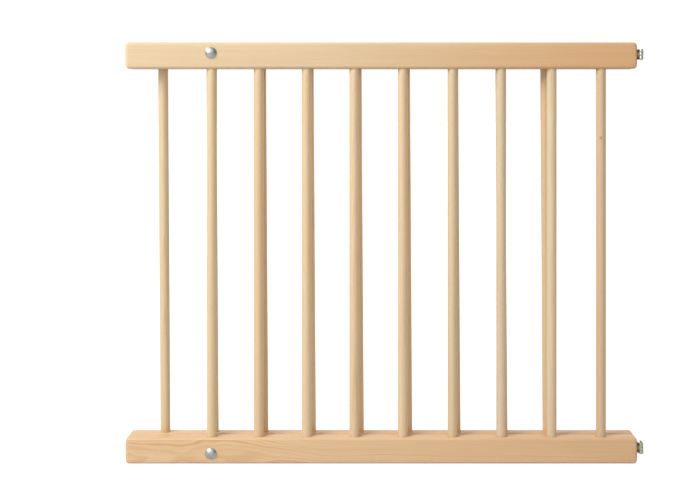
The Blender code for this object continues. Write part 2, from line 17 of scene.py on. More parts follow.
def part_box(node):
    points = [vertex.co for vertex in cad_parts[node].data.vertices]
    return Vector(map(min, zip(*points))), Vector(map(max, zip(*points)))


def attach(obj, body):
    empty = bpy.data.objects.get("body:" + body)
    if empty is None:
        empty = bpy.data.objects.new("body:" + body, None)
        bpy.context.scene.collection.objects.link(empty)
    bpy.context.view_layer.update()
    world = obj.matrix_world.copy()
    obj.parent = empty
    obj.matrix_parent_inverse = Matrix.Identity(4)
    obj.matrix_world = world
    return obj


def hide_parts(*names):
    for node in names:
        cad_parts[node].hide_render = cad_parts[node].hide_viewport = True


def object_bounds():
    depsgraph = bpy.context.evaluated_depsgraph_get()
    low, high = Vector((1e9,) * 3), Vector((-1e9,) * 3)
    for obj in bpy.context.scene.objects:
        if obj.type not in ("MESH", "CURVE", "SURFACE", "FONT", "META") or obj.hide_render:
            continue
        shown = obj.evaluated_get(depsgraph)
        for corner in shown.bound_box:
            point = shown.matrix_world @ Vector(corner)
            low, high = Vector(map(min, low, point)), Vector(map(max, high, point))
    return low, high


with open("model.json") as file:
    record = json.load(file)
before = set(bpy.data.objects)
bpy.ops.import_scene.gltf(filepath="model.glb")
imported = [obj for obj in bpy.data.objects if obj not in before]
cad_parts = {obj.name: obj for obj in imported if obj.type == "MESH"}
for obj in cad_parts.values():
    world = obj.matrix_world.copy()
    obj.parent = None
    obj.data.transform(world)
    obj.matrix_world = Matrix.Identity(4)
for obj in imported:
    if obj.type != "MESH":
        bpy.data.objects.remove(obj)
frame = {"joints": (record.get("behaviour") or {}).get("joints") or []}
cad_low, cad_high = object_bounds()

MM = 0.001
X_AXIS, Y_AXIS, Z_AXIS = Vector((1, 0, 0)), Vector((0, 1, 0)), Vector((0, 0, 1))
GATE_SIZE = cad_high - cad_low
PANEL_BARS = range(1, 10)
OVERRUN = 2 * MM  # how far a cutter passes what it cuts
SAME_PLACE = 1e-7

# Wooden parts
RAIL_EDGE_RADIUS = 4.0 * MM
RAIL_EDGE_STEPS = 5
RAIL_END_CROWN = (0.7 * MM, 1.5 * MM)  # how far sanding takes back an end's sides, and its top and foot
RAIL_END_REACH = 9 * MM  # from a rail's end to where its sanded end begins
RAIL_CELL = (10 * MM, 5 * MM, 6 * MM)
RAIL_SANDING = 0.08 * MM
RAIL_SANDING_SCALE = (9, 60, 60)  # patches to the metre
BAR_SEGMENTS = 48
BAR_STATION = 22 * MM
BAR_CHAMFER = 1.0 * MM
BAR_END = ((1.0, 0.0), (0.35, 0.3), (0.0, 1.0))  # inset and rise, in chamfers
BAR_SANDING = 0.06 * MM
BAR_SANDING_ROUND, BAR_SANDING_ALONG = 1.3, 14
BAR_BOW = 0.3 * MM
REAR_BAR_LEAN = 3.8 * MM  # from foot to top, as the rear panel is a little racked
SEAT_CLEARANCE = 0.04 * MM
MOUTH_EASE = 0.4 * MM
SLOT_RADIUS = 3.3 * MM
SLOT_END_STEPS = 12

# Screws, bolts, washers and wing nuts
ROUND_SEGMENTS = 48
SMALL_SEGMENTS = 28
THREAD_RINGS = 8  # rings in one turn of a bolt's thread
BOLT_RADIUS = 3.0 * MM
BOLT_HOLE_RADIUS = 4.1 * MM
BOLT_HOLE_REACH = 14 * MM
BOLT_LIP = 0.6 * MM
BOLT_LIP_INSET = 0.35 * MM
BOLT_LIP_PROFILE = ((0.08 * MM, 0.85), (0.0, 0.55), (0.0, 0.2), (0.12 * MM, 0.0))  # inset, depth
BOLT_NECK_LENGTH = 4 * MM
BOLT_SHOULDER = 0.4 * MM
BOLT_SHANK_RADIUS, BOLT_THREAD_RADIUS = 2.9 * MM, 2.98 * MM
SQUARE_CORNER = 1.34  # a square neck's reach at its corners, in half widths
BOLT_PITCH = 1.0 * MM
BOLT_THREAD_LENGTH = 24 * MM
BOLT_THREAD_DEPTH = 0.55 * MM
BOLT_POINT = 0.9 * MM
BOLT_DOME_STEPS = 14
WASHER_BORE = 3.3 * MM
WASHER_EASE = 0.35 * MM
WASHER_BURR = 0.1 * MM
NUT_BOSS = (  # radius, height
    (0.0, 0.0), (6.1 * MM, 0.0), (6.4 * MM, 0.3 * MM), (6.4 * MM, 1.7 * MM), (6.2 * MM, 2.2 * MM),
    (5.2 * MM, 7.5 * MM), (4.9 * MM, 7.9 * MM), (0.0, 7.95 * MM),
)
NUT_BORE = (
    (3.65 * MM, -OVERRUN), (3.65 * MM, 0.0), (3.1 * MM, 0.55 * MM),
    (3.1 * MM, 7.4 * MM), (3.65 * MM, 8.0 * MM), (3.65 * MM, 8.0 * MM + OVERRUN),
)
WING_LOBE = 4.4 * MM
WING_ROOT = 3.6 * MM  # from the nut's axis, inside the boss
WING_ROOT_HEIGHTS = (0.6 * MM, 7.4 * MM)
WING_START, WING_SWEEP, WING_STEPS = -48, 218, 20
WING_SLICES = ((-1.3, 0.90), (-0.9, 0.985), (0.0, 1.0), (0.9, 0.985), (1.3, 0.90))  # offset in mm, size
CAST_SKIN = 0.1 * MM
CAST_VOXEL = 0.3 * MM
CAST_SMOOTHING = 5
SCREW_HEAD_RADIUS = 2.6 * MM
SCREW_HEAD_HEIGHT = 1.5 * MM
SCREW_HEAD_RIM = 0.35 * MM
SCREW_RADIUS = 1.35 * MM
SCREW_NECK = (0.25 * MM, 0.3 * MM)  # below the head's seat: its countersink, and the thread's end
SCREW_PITCH, SCREW_THREAD_DEPTH, SCREW_THREAD_RINGS = 1.1 * MM, 0.42 * MM, 6
SCREW_POINT = 0.12  # a point's width, as a share of the shank's
SCREW_TAPER = 4.5 * MM
SCREW_DOME_STEPS = 6
RECESS_ARM = 0.56  # of the head's radius
RECESS_HALF_WIDTH = 0.28 * MM
RECESS_LAYERS = ((-0.95 * MM, 0.35), (-0.6 * MM, 0.7), (0.3 * MM, 1.0))  # rise from the top, size
PILOT_RADIUS = 1.4 * MM
PILOT_SPARE = 0.2 * MM
THREAD_FLANK = 1.25  # over 1, so that a thread's crest is flat

# Hinges
LEAF_THICKNESS = 1.4 * MM
LEAF_CORNER, LEAF_CORNER_STEPS = 5.0 * MM, 8
LEAF_HOLE_RADIUS = 1.55 * MM
LEAF_HOLE_REACH = 4 * MM
LEAF_EASE = 0.16 * MM
LEAF_SPARE = 10 * MM
BARREL_RADIUS = 3.0 * MM
KNUCKLE_GAP = 0.3 * MM
PIN_PLAY = 0.15 * MM
CRANK_BEND = (5.6 * MM, 0.4 * MM)  # beyond the pin, where the rail leaf's crank starts and ends
CRANK_STEPS = 12
RAIL_LEAF_ROLL, WALL_LEAF_ROLL, ROLL_STEPS = 306, -290, 26
PIN_END = ((0.0, 0.0), (0.6, 0.05 * MM), (0.92, 0.25 * MM), (1.0, 0.5 * MM))  # share of radius, inset

# Latch
LATCH_SCREWS = [f"latch_screw_{index}" for index in range(1, 5)]
PLATE_THICKNESS = 1.2 * MM
PLATE_CORNER, PLATE_CORNER_STEPS = 2.4 * MM, 7
PLATE_EASE = 0.22 * MM
PLATE_HOLE_RADIUS = 1.6 * MM
GUIDE_LENGTH = 6 * MM
GUIDE_SETBACK = 0.3 * MM
GUIDE_STEPS = 22
GUIDE_FOOT = ((0.0, 1.2 * MM), (0.7 * MM, 0.35 * MM), (1.6 * MM, 0.0))  # rise, spread
ROD_PLAY = 0.25 * MM
ROD_NOSE = 2.2 * MM
ROD_NOSE_FLAT = 0.8 * MM
ROD_NOSE_STEPS = 8
ROD_TAIL = ((0.0, 0.7 * MM), (0.25 * MM, 0.2 * MM), (0.7 * MM, 0.0))  # inset, back from the end
KNOB_STEM_RADIUS = 1.5 * MM
KNOB_NECK = ((1.5 * MM, -1.4 * MM), (1.65 * MM, -0.5 * MM), (2.1 * MM, 0.45 * MM))
KNOB_STEPS, KNOB_BALL_START = 24, 4

# Plated steel
CRYSTAL_SCALE, CRYSTAL_SHADE = 620.0, 0.82
STEELS = {
    # name: (tone, roughness, tarnish, tone of its film)
    "bolt_steel": ((0.58, 0.62, 0.60), 0.28, 0.2, (0.40, 0.42, 0.39)),
    "hinge_steel": ((0.64, 0.63, 0.55), 0.38, 0.5, (0.40, 0.34, 0.25)),
    "latch_steel": ((0.60, 0.61, 0.60), 0.32, 0.3, (0.42, 0.40, 0.34)),
}

# Camera
CAMERA_DISTANCE = 1.5  # in front of the front panel's face
CAMERA_RIGHT = 0.0033  # of the front panel's middle
CAMERA_HEIGHT = 0.5039
CAMERA_LENS = 55.64
CAMERA_SHIFT = (-0.0544, -0.2088)

# Studio
WHITE_SEEN = 1.05
WHITE_IN_GLOSS = 1.0  # behind the gate
FRONT_IN_GLOSS = (0.18, 1.05)  # in front, away from and towards the bright side of the room
BRIGHT_SIDE = Vector((-0.42, -0.80, 0.42)).normalized()
FILL_SIDE = Vector((0.8, 0.2, -0.5)).normalized()
FILL_COLOUR = (1.0, 0.88, 0.75)
AMBIENT_LIGHT = 0.82
ZENITH_SHARE = 0.62  # of the ambient light, from straight above
KEY_PLACE = (-1.7, -1.25, 1.9)
KEY_AIM = (0.0, 0.0, 0.30)
KEY_SIZE = 1.4
KEY_POWER = 49.5
KEY_COLOUR = (1.0, 0.985, 0.96)
FLOOR_SIZE = 30.0
FLOOR_DROP = 0.2 * MM
FLOOR_TONE = (0.5, 0.5, 0.5, 1.0)
FLOOR_SEEN, FLOOR_CAST = 0.82, 0.15
WHITE = (1.0, 1.0, 1.0)

# Pine. Pairs of scales are along and across the grain, in cells to the metre
RAIL_RING_GAP, BAR_RING_GAP = 2.4 * MM, 2.0 * MM
BAR_CONTRAST = 0.9
LOG_WAVES = (((2.2, 5.0), 5.0 * MM), ((9.0, 24.0), 1.4 * MM), ((34.0, 90.0), 0.3 * MM))
CROOK_REACH = (-0.25, -0.05)  # along a log from its middle, where its bend and lively figure end
GAP_DRIFT_SCALES, GAP_DRIFT = (1.5, 60.0), 1.4  # how many rings' widths the gaps wander
LATE_WOOD_DARKENS = (0.30, 0.88)  # shares of a year's ring
LATE_WOOD_ENDS = (0.90, 1.0)
YEAR_SCALE = (0.37, 0.37, 0.37)
PATCH_SCALES = (5.0, 45.0)
FIBRE_SCALES = (22.0, 1500.0)
STREAK_SCALES = (5.0, 260.0)
CLOUD_SCALES = (3.0, 26.0)
FLECK_SCALES = (70.0, 1700.0)
DEEP_SHADE = (0.86, 0.74, 0.60)
CLOUD_SHADE = (0.95, 0.89, 0.81)
END_GRAIN_SHADE = (0.86, 0.78, 0.68)
FLECK_TONE = (0.42, 0.24, 0.12)
KNOT_TONE = (0.36, 0.17, 0.07)
KNOT_CORE, KNOT_SWIRL, KNOT_RINGS = (0.55, 1.25), (0.5, 4.0), 2.2  # in the knot's radii; rings
PAINTED_FALLOFF_SPAN = (-0.55, 1.15)  # where the painted light falloff runs from a piece's lit tone to its shaded tone, in half lengths of the gate
# Rail tones at the left and right ends: the wood's own tone, with painted light falloff making the right end
# darker
TOP_LIT_AND_SHADED_TONES = ((0.75, 0.585, 0.375), (0.69, 0.42, 0.205))
BOTTOM_LIT_AND_SHADED_TONES = ((0.765, 0.54, 0.32), (0.71, 0.465, 0.265))

RAIL_PINE = {
    # node: (heart of the log from the rail's middle, tilt in degrees, contrast, crook, lively, tones with
    # painted light falloff)
    "front_top_rail": ((0.0, 0.030, -0.085), (0, 0.6, 0.9), 0.75, None, 1.0, TOP_LIT_AND_SHADED_TONES),
    "front_bottom_rail": ((0.0, 0.042, 0.034), (0, 0.3, 0.4), 0.85, (0, 0, -0.026), 3.4, BOTTOM_LIT_AND_SHADED_TONES),
    "rear_top_rail": ((0.0, -0.045, 0.050), (0, 1.2, -1.0), 1.0, None, 1.0, TOP_LIT_AND_SHADED_TONES),
    "rear_bottom_rail": ((0.0, -0.030, 0.012), (0, -0.9, 1.8), 1.1, None, 1.0, BOTTOM_LIT_AND_SHADED_TONES),
}
BAR_TONES_WITH_FALLOFF = {
    # panel: each bar's tone, left to right: the wood's own tone, with painted light falloff darkening the
    # bars towards the right
    "front": (
        (0.74, 0.58, 0.365), (0.74, 0.55, 0.335), (0.75, 0.575, 0.36), (0.755, 0.575, 0.365),
        (0.75, 0.575, 0.365), (0.705, 0.55, 0.34), (0.70, 0.56, 0.385), (0.72, 0.575, 0.375),
        (0.67, 0.495, 0.305),
    ),
    "rear": (
        (0.715, 0.57, 0.36), (0.71, 0.55, 0.35), (0.70, 0.50, 0.30), (0.75, 0.58, 0.37),
        (0.76, 0.565, 0.35), (0.755, 0.535, 0.315), (0.70, 0.535, 0.33), (0.735, 0.545, 0.36),
        (0.73, 0.55, 0.34),
    ),
}
BAR_HEART = (0.012, 0.07)  # how far a bar's middle may be from the heart of its log
BAR_TILT = 1.6  # degrees
BAR_KNOTS = {"front_bar_9": (((0.001, 0.0, 0.1615), (-0.35, -1.0, 0.0), 2.2 * MM),)}


# --- Shapes ---

def mesh_object(name, shape):
    """A linked object from a bmesh, which it frees."""
    bmesh.ops.recalc_face_normals(shape, faces=shape.faces)
    mesh = bpy.data.meshes.new(name)
    shape.to_mesh(mesh)
    shape.free()
    made = bpy.data.objects.new(name, mesh)
    bpy.context.scene.collection.objects.link(made)
    return made


def loft(name, rings, closed=False):
    """A solid through rings of the same number of points. A ring of equal points makes a pole."""
    shape = bmesh.new()
    rows = [[shape.verts.new(point) for point in ring] for ring in rings]
    count = len(rows[0])
    pairs = list(zip(rows, rows[1:]))
    if closed:
        pairs.append((rows[-1], rows[0]))
    for lower, upper in pairs:
        for i in range(count):
            j = (i + 1) % count
            shape.faces.new((lower[i], lower[j], upper[j], upper[i]))
    if not closed:
        for row in (rows[0], rows[-1]):
            if (row[0].co - row[count // 2].co).length > SAME_PLACE:
                shape.faces.new(row)
    bmesh.ops.remove_doubles(shape, verts=shape.verts, dist=SAME_PLACE)
    return mesh_object(name, shape)


def circle(radius, height, place, segments, reach=None):
    """A ring of points about the place's Z axis. reach(angle) may change its radius."""
    points = []
    for i in range(segments):
        angle = 2 * math.pi * i / segments
        r = reach(angle) if reach else radius
        points.append(place @ Vector((r * math.cos(angle), r * math.sin(angle), height)))
    return points


def arc(centre, radius, start, sweep, steps, first=0):
    """Points on an arc in a plane, by angles in degrees. first leaves out the points before it."""
    points = []
    for k in range(first, steps + 1):
        angle = math.radians(start + sweep * k / steps)
        points.append((centre[0] + radius * math.cos(angle), centre[1] + radius * math.sin(angle)))
    return points


def turned(name, profile, place, segments, closed=False):
    """A turned solid from (radius, height) points along the place's Z axis."""
    rings = [circle(radius, height, place, segments) for radius, height in profile]
    return loft(name, rings, closed)


def combine(target, operation, tool):
    """Applies one exact boolean and removes the tool."""
    modifier = target.modifiers.new("combine", "BOOLEAN")
    modifier.operation = operation
    modifier.solver = "EXACT"
    modifier.object = tool
    apply_modifiers(target)
    bpy.data.objects.remove(tool, do_unlink=True)
    return target


def apply_modifiers(target):
    depsgraph = bpy.context.evaluated_depsgraph_get()
    mesh = bpy.data.meshes.new_from_object(target.evaluated_get(depsgraph))
    target.modifiers.clear()
    target.data = mesh


def join(target, others):
    """Puts the others' meshes, which may overlap, into the target's mesh."""
    shape = bmesh.new()
    for part in (target, *others):
        shape.from_mesh(part.data)
    shape.to_mesh(target.data)
    shape.free()
    for part in others:
        bpy.data.objects.remove(part, do_unlink=True)
    return target


def ease_edges(target, width, angle=40, segments=2):
    """Rounds every edge that is sharper than the angle."""
    modifier = target.modifiers.new("ease", "BEVEL")
    modifier.width = width
    modifier.segments = segments
    modifier.limit_method = "ANGLE"
    modifier.angle_limit = math.radians(angle)
    modifier.use_clamp_overlap = True
    apply_modifiers(target)
    return target


def shade(target, angle=32):
    target.data.shade_smooth()
    target.data.set_sharp_from_angle(angle=math.radians(angle))
    return target


def block(name, low, high):
    """A plain box, for cutting with or as the start of a shape."""
    shape = bmesh.new()
    bmesh.ops.create_cube(shape, size=1.0)
    bmesh.ops.scale(shape, vec=Vector(high) - Vector(low), verts=shape.verts)
    bmesh.ops.translate(shape, vec=(Vector(low) + Vector(high)) / 2, verts=shape.verts)
    return mesh_object(name, shape)


def middle_of(node):
    low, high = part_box(node)
    return (low + high) / 2


def axis_stations(half, radius, cell, arc_steps):
    """Places along one axis of a rounded block, close together in the rounded ends."""
    inner = half - radius
    arc = [inner + radius * math.tan(math.pi / 4 * k / arc_steps) for k in range(arc_steps + 1)]
    count = max(1, round(2 * inner / cell))
    middle = [-inner + 2 * inner * k / count for k in range(1, count)]
    return [-value for value in reversed(arc)] + middle + arc


def rounded_block(low, high, radius, cell, arc_steps):
    """A closed box with round edges and corners, with cells fine enough to be worn, as a bmesh."""
    middle, half = (low + high) / 2, (high - low) / 2
    axes = [axis_stations(half[i], radius, cell[i], arc_steps) for i in range(3)]
    last = [len(stations) - 1 for stations in axes]
    shape = bmesh.new()
    made = {}

    def corner(index):
        if index not in made:
            point = Vector([axes[i][index[i]] for i in range(3)])
            core = Vector([max(radius - half[i], min(half[i] - radius, point[i])) for i in range(3)])
            made[index] = shape.verts.new(middle + core + (point - core).normalized() * radius)
        return made[index]

    for axis in range(3):
        u, v = (axis + 1) % 3, (axis + 2) % 3
        for end in (0, last[axis]):
            for i in range(last[u]):
                for j in range(last[v]):
                    face = []
                    for step_u, step_v in ((0, 0), (1, 0), (1, 1), (0, 1)):
                        index = [0, 0, 0]
                        index[axis], index[u], index[v] = end, i + step_u, j + step_v
                        face.append(corner(tuple(index)))
                    shape.faces.new(face)
    bmesh.ops.recalc_face_normals(shape, faces=shape.faces)
    shape.normal_update()
    return shape


def crown_ends(shape, low, high):
    """Rounds a rail's ends over, so that they stand furthest out in their middle."""
    middle, half = (low + high) / 2, (high - low) / 2
    for vert in shape.verts:
        offset = vert.co - middle
        nearness = max(0.0, 1 - (half.x - abs(offset.x)) / RAIL_END_REACH)
        sideways = abs(offset.y / half.y) ** 3
        upwards = abs(offset.z / half.z) ** 4
        taken = (RAIL_END_CROWN[0] * sideways + RAIL_END_CROWN[1] * upwards) * nearness
        vert.co.x -= math.copysign(taken, offset.x)


def sand(shape, depth, scale, seed):
    """Takes up to depth off the surface, unevenly, as planing and sanding do."""
    moves = []
    for vert in shape.verts:
        place = Vector([vert.co[i] * scale[i] + seed for i in range(3)])
        moves.append(vert.normal * depth * (0.5 + 0.5 * noise.noise(place)))
    for vert, move in zip(shape.verts, moves):
        vert.co -= move


# --- Node trees ---

def plug(tree, socket, value):
    """Links an output to the socket, or sets the socket's constant."""
    if isinstance(value, bpy.types.NodeSocket):
        tree.links.new(value, socket)
    else:
        socket.default_value = value


def calc(tree, operation, *values, clamp=False):
    node = tree.nodes.new("ShaderNodeMath")
    node.operation = operation
    node.use_clamp = clamp
    for socket, value in zip(node.inputs, values):
        plug(tree, socket, value)
    return node.outputs[0]


def vector_calc(tree, operation, *values):
    node = tree.nodes.new("ShaderNodeVectorMath")
    node.operation = operation
    for socket, value in zip(node.inputs, values):
        plug(tree, socket, value)
    one_number = operation in ("LENGTH", "DOT_PRODUCT", "DISTANCE")
    return node.outputs["Value" if one_number else "Vector"]


def noise_field(tree, vector, scale, shift, detail=2.0, roughness=0.5, colour=False):
    """Noise with its own scale on each axis, in cells to the metre."""
    scaled = vector_calc(tree, "MULTIPLY_ADD", vector, scale, shift)
    node = tree.nodes.new("ShaderNodeTexNoise")
    plug(tree, node.inputs["Vector"], scaled)
    node.inputs["Scale"].default_value = 1.0
    node.inputs["Detail"].default_value = detail
    node.inputs["Roughness"].default_value = roughness
    return node.outputs["Color" if colour else "Fac"]


def rise(tree, value, low, high, start=0.0, end=1.0):
    """A smooth step from start to end as the value goes from low to high."""
    node = tree.nodes.new("ShaderNodeMapRange")
    node.interpolation_type = "SMOOTHSTEP"
    plug(tree, node.inputs["Value"], value)
    node.inputs["From Min"].default_value = low
    node.inputs["From Max"].default_value = high
    node.inputs["To Min"].default_value = start
    node.inputs["To Max"].default_value = end
    return node.outputs["Result"]


def mix(tree, factor, first, second, blend="MIX"):
    node = tree.nodes.new("ShaderNodeMix")
    node.data_type = "RGBA"
    node.blend_type = blend
    plug(tree, node.inputs[0], factor)
    for socket, value in ((node.inputs[6], first), (node.inputs[7], second)):
        plug(tree, socket, value if isinstance(value, bpy.types.NodeSocket) else (*value, 1.0))
    return node.outputs[2]


def new_material(name):
    """A material with a Principled shader, and its tree and the part's own coordinates."""
    material = bpy.data.materials.new(name)
    material.use_nodes = True
    tree = material.node_tree
    return material, tree, tree.nodes["Principled BSDF"], tree.nodes.new("ShaderNodeTexCoord")


def add_bump(tree, shader, height, strength, distance):
    node = tree.nodes.new("ShaderNodeBump")
    node.inputs["Strength"].default_value = strength
    node.inputs["Distance"].default_value = distance
    plug(tree, node.inputs["Height"], height)
    tree.links.new(node.outputs["Normal"], shader.inputs["Normal"])


# --- Wood ---

def along_grain(grain, along, across):
    """A vector with one value on the grain's axis and another on the two axes across it."""
    return Vector([along if i == grain else across for i in range(3)])


def heart_distance(tree, local, log, position, zone, seed):
    """How far a place is from the heart of its log, which bends slowly and in small waves."""
    grain, pith, tilt, _, crook, _ = log
    turned_log = tree.nodes.new("ShaderNodeMapping")
    turned_log.inputs["Location"].default_value = pith
    turned_log.inputs["Rotation"].default_value = tilt
    plug(tree, turned_log.inputs["Vector"], local)
    bent = turned_log.outputs["Vector"]
    if crook:
        bend = rise(tree, position, *CROOK_REACH, 1.0, 0.0)
        bent = vector_calc(tree, "MULTIPLY_ADD", bend, crook, bent)
    across = along_grain(grain, 0.0, 1.0)
    for scales, depth in LOG_WAVES:
        wave = noise_field(tree, local, along_grain(grain, *scales), seed, detail=1.0, colour=True)
        centred = vector_calc(tree, "SUBTRACT", wave, (0.5, 0.5, 0.5))
        centred = vector_calc(tree, "MULTIPLY", centred, zone)
        bent = vector_calc(tree, "MULTIPLY_ADD", centred, across * (2 * depth), bent)
    return vector_calc(tree, "LENGTH", vector_calc(tree, "MULTIPLY", bent, across))


def knot_marks(tree, local, knots):
    """How dark the knots make a place, and by how many rings they push the grain aside."""
    shade, rings = 0.0, 0.0
    for place, direction, radius in knots:
        offset = vector_calc(tree, "SUBTRACT", local, place)
        aside = vector_calc(tree, "CROSS_PRODUCT", offset, Vector(direction).normalized())
        away = vector_calc(tree, "LENGTH", aside)
        in_front = rise(tree, vector_calc(tree, "DOT_PRODUCT", offset, direction), -radius, 0.0)
        dark = rise(tree, away, *(radius * share for share in KNOT_CORE), 1.0, 0.0)
        swirl = rise(tree, away, *(radius * share for share in KNOT_SWIRL), KNOT_RINGS, 0.0)
        shade = calc(tree, "MAXIMUM", shade, calc(tree, "MULTIPLY", dark, in_front))
        rings = calc(tree, "ADD", rings, calc(tree, "MULTIPLY", swirl, in_front))
    return shade, rings


def late_wood(tree, field, from_heart, ring_gap, rings_moved, seed):
    """The year rings: pale early wood that darkens to a thin edge of late wood."""
    drift = calc(tree, "MULTIPLY", field(GAP_DRIFT_SCALES, 1.7, 1.0), GAP_DRIFT)
    turns = calc(tree, "MULTIPLY_ADD", from_heart, 1.0 / ring_gap, drift)
    ring = calc(tree, "FRACT", calc(tree, "ADD", turns, rings_moved))
    darkens = rise(tree, ring, *LATE_WOOD_DARKENS)
    late = calc(tree, "MULTIPLY", darkens, rise(tree, ring, *LATE_WOOD_ENDS, 1.0, 0.0))
    year = noise_field(tree, calc(tree, "FLOOR", turns), YEAR_SCALE, seed, detail=0.0)
    patch = field(PATCH_SCALES, 2.3, 2.0)
    strength = calc(
        tree, "MULTIPLY", rise(tree, year, 0.3, 0.7, 0.35, 1.0), rise(tree, patch, 0.3, 0.7, 0.4, 1.0)
    )
    return calc(tree, "MULTIPLY", late, strength)


def shaded(tree, factor, colour, shade):
    """The colour, darkened by the shade as far as the factor says."""
    return mix(tree, factor, colour, mix(tree, 1.0, colour, shade, "MULTIPLY"))


def pine(name, middle, log, tones_with_falloff, contrast, knots=()):
    """Pine, as a material for a piece with its middle at this place.

    log is (axis of the grain, heart of the log from the middle, its tilt, gap between rings, how far
    it bends aside at the low end or None, how many times as lively its figure is there). The two tones
    are the wood's colours at that axis's low and high ends; where they differ, the change between them
    is painted light falloff over the wood's own tone. A knot is (place, direction, radius).
    """
    grain, _, _, ring_gap, _, lively = log
    picker = random.Random(name)
    seed = Vector([picker.uniform(-50, 50) for _ in range(3)])
    material, tree, shader, coordinates = new_material(name)
    local = vector_calc(tree, "SUBTRACT", coordinates.outputs["Object"], middle)

    def field(scales, seed_share, detail, roughness=0.5):
        return noise_field(tree, local, along_grain(grain, *scales), seed * seed_share, detail, roughness)

    position = vector_calc(tree, "DOT_PRODUCT", local, along_grain(grain, 1.0, 0.0))
    zone = rise(tree, position, *CROOK_REACH, lively, 1.0)
    from_heart = heart_distance(tree, local, log, position, zone, seed)
    knot_shade, rings_moved = knot_marks(tree, local, knots)
    late = late_wood(tree, field, from_heart, ring_gap, rings_moved, seed)
    late = calc(tree, "MULTIPLY", late, zone)
    fibres = field(FIBRE_SCALES, 3.1, 3.0, 0.6)
    streaks = field(STREAK_SCALES, 4.3, 2.0)
    cloud = field(CLOUD_SCALES, 5.9, 3.0)
    fleck = rise(tree, field(FLECK_SCALES, 7.7, 1.0), 0.70, 0.78)

    # the base tone changes along the grain: painted light falloff from the lit left end to the darker right
    # end, over the wood's own tone
    low, high = (GATE_SIZE[grain] / 2 * share for share in PAINTED_FALLOFF_SPAN)
    pale = mix(tree, rise(tree, position, low, high), tones_with_falloff[0], tones_with_falloff[1])
    deep = mix(tree, 1.0, pale, DEEP_SHADE, "MULTIPLY")
    colour = mix(tree, calc(tree, "MULTIPLY", late, 0.75 * contrast, clamp=True), pale, deep)
    colour = mix(tree, rise(tree, streaks, 0.35, 0.75, 0.0, 0.30 * contrast), colour, deep)
    colour = mix(tree, rise(tree, fibres, 0.35, 0.8, 0.0, 0.16), colour, deep)
    colour = shaded(tree, rise(tree, cloud, 0.40, 0.72, 0.0, 0.35), colour, CLOUD_SHADE)
    colour = mix(tree, calc(tree, "MULTIPLY", fleck, 0.22), colour, FLECK_TONE)
    if knots:
        colour = mix(tree, calc(tree, "MULTIPLY", knot_shade, 0.62), colour, KNOT_TONE)
    facing = vector_calc(tree, "DOT_PRODUCT", coordinates.outputs["Normal"], along_grain(grain, 1.0, 0.0))
    end_grain = rise(tree, calc(tree, "ABSOLUTE", facing), 0.6, 0.95)
    plug(tree, shader.inputs["Base Color"], shaded(tree, end_grain, colour, END_GRAIN_SHADE))

    rough = calc(tree, "MULTIPLY_ADD", fibres, 0.14, 0.40)
    rough = calc(tree, "MULTIPLY_ADD", late, -0.06, rough)
    rough = calc(tree, "MULTIPLY_ADD", end_grain, 0.2, rough)
    plug(tree, shader.inputs["Roughness"], rough)
    shader.inputs["Specular IOR Level"].default_value = 0.42
    shader.inputs["Coat Weight"].default_value = 0.35
    shader.inputs["Coat Roughness"].default_value = 0.3
    height = calc(tree, "MULTIPLY_ADD", late, 0.5, calc(tree, "MULTIPLY", fibres, 0.5))
    add_bump(tree, shader, height, 0.22, 0.12 * MM)
    return material


def seat_cutter(x, y, mouth_z, floor_z, bar_radius):
    """Cuts a bar's blind seat, with its mouth a little eased."""
    radius = bar_radius + SEAT_CLEARANCE
    outwards = 1 if mouth_z > floor_z else -1
    profile = [
        (radius, floor_z),
        (radius, mouth_z - outwards * MOUTH_EASE),
        (radius + MOUTH_EASE, mouth_z),
        (radius + MOUTH_EASE + OVERRUN, mouth_z + outwards * OVERRUN),
    ]
    return turned("seat_cutter", profile, Matrix.Translation((x, y, 0)), BAR_SEGMENTS)


def drill(x, y, z, direction, radius, reach):
    """A cutter for a round hole through the place, this far each way along the direction."""
    turn = Vector(direction).to_track_quat("Z", "Y").to_matrix().to_4x4()
    place = Matrix.Translation((x, y, z)) @ turn
    return turned("drill", [(radius, -reach), (radius, reach)], place, SMALL_SEGMENTS)


def slot_cutter(low, high, middle_z, y_low, y_high):
    """Cuts a long round-ended slot through a rail, with both its mouths eased."""
    layers = [
        (y_low - OVERRUN, MOUTH_EASE + OVERRUN),
        (y_low + MOUTH_EASE, 0.0),
        (y_high - MOUTH_EASE, 0.0),
        (y_high + OVERRUN, MOUTH_EASE + OVERRUN),
    ]
    rings = []
    for y, grown in layers:
        outline = arc((high, middle_z), SLOT_RADIUS + grown, -90, 180, SLOT_END_STEPS)
        outline += arc((low, middle_z), SLOT_RADIUS + grown, 90, 180, SLOT_END_STEPS)
        rings.append([(x, y, z) for x, z in outline])
    return loft("slot_cutter", rings)


def bar_drift(node, height):
    """How far a bar's middle is from its nominal place along X, this far up the gate."""
    if not node.startswith("rear"):
        return 0.0
    return REAR_BAR_LEAN * (0.5 - height / GATE_SIZE.z)


def place_piece(piece, material, body, node):
    """Gives the piece its finish, sets it on its body and hides the CAD node it stands for."""
    piece.data.materials.clear()
    piece.data.materials.append(material)
    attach(piece, body)
    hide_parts(node)


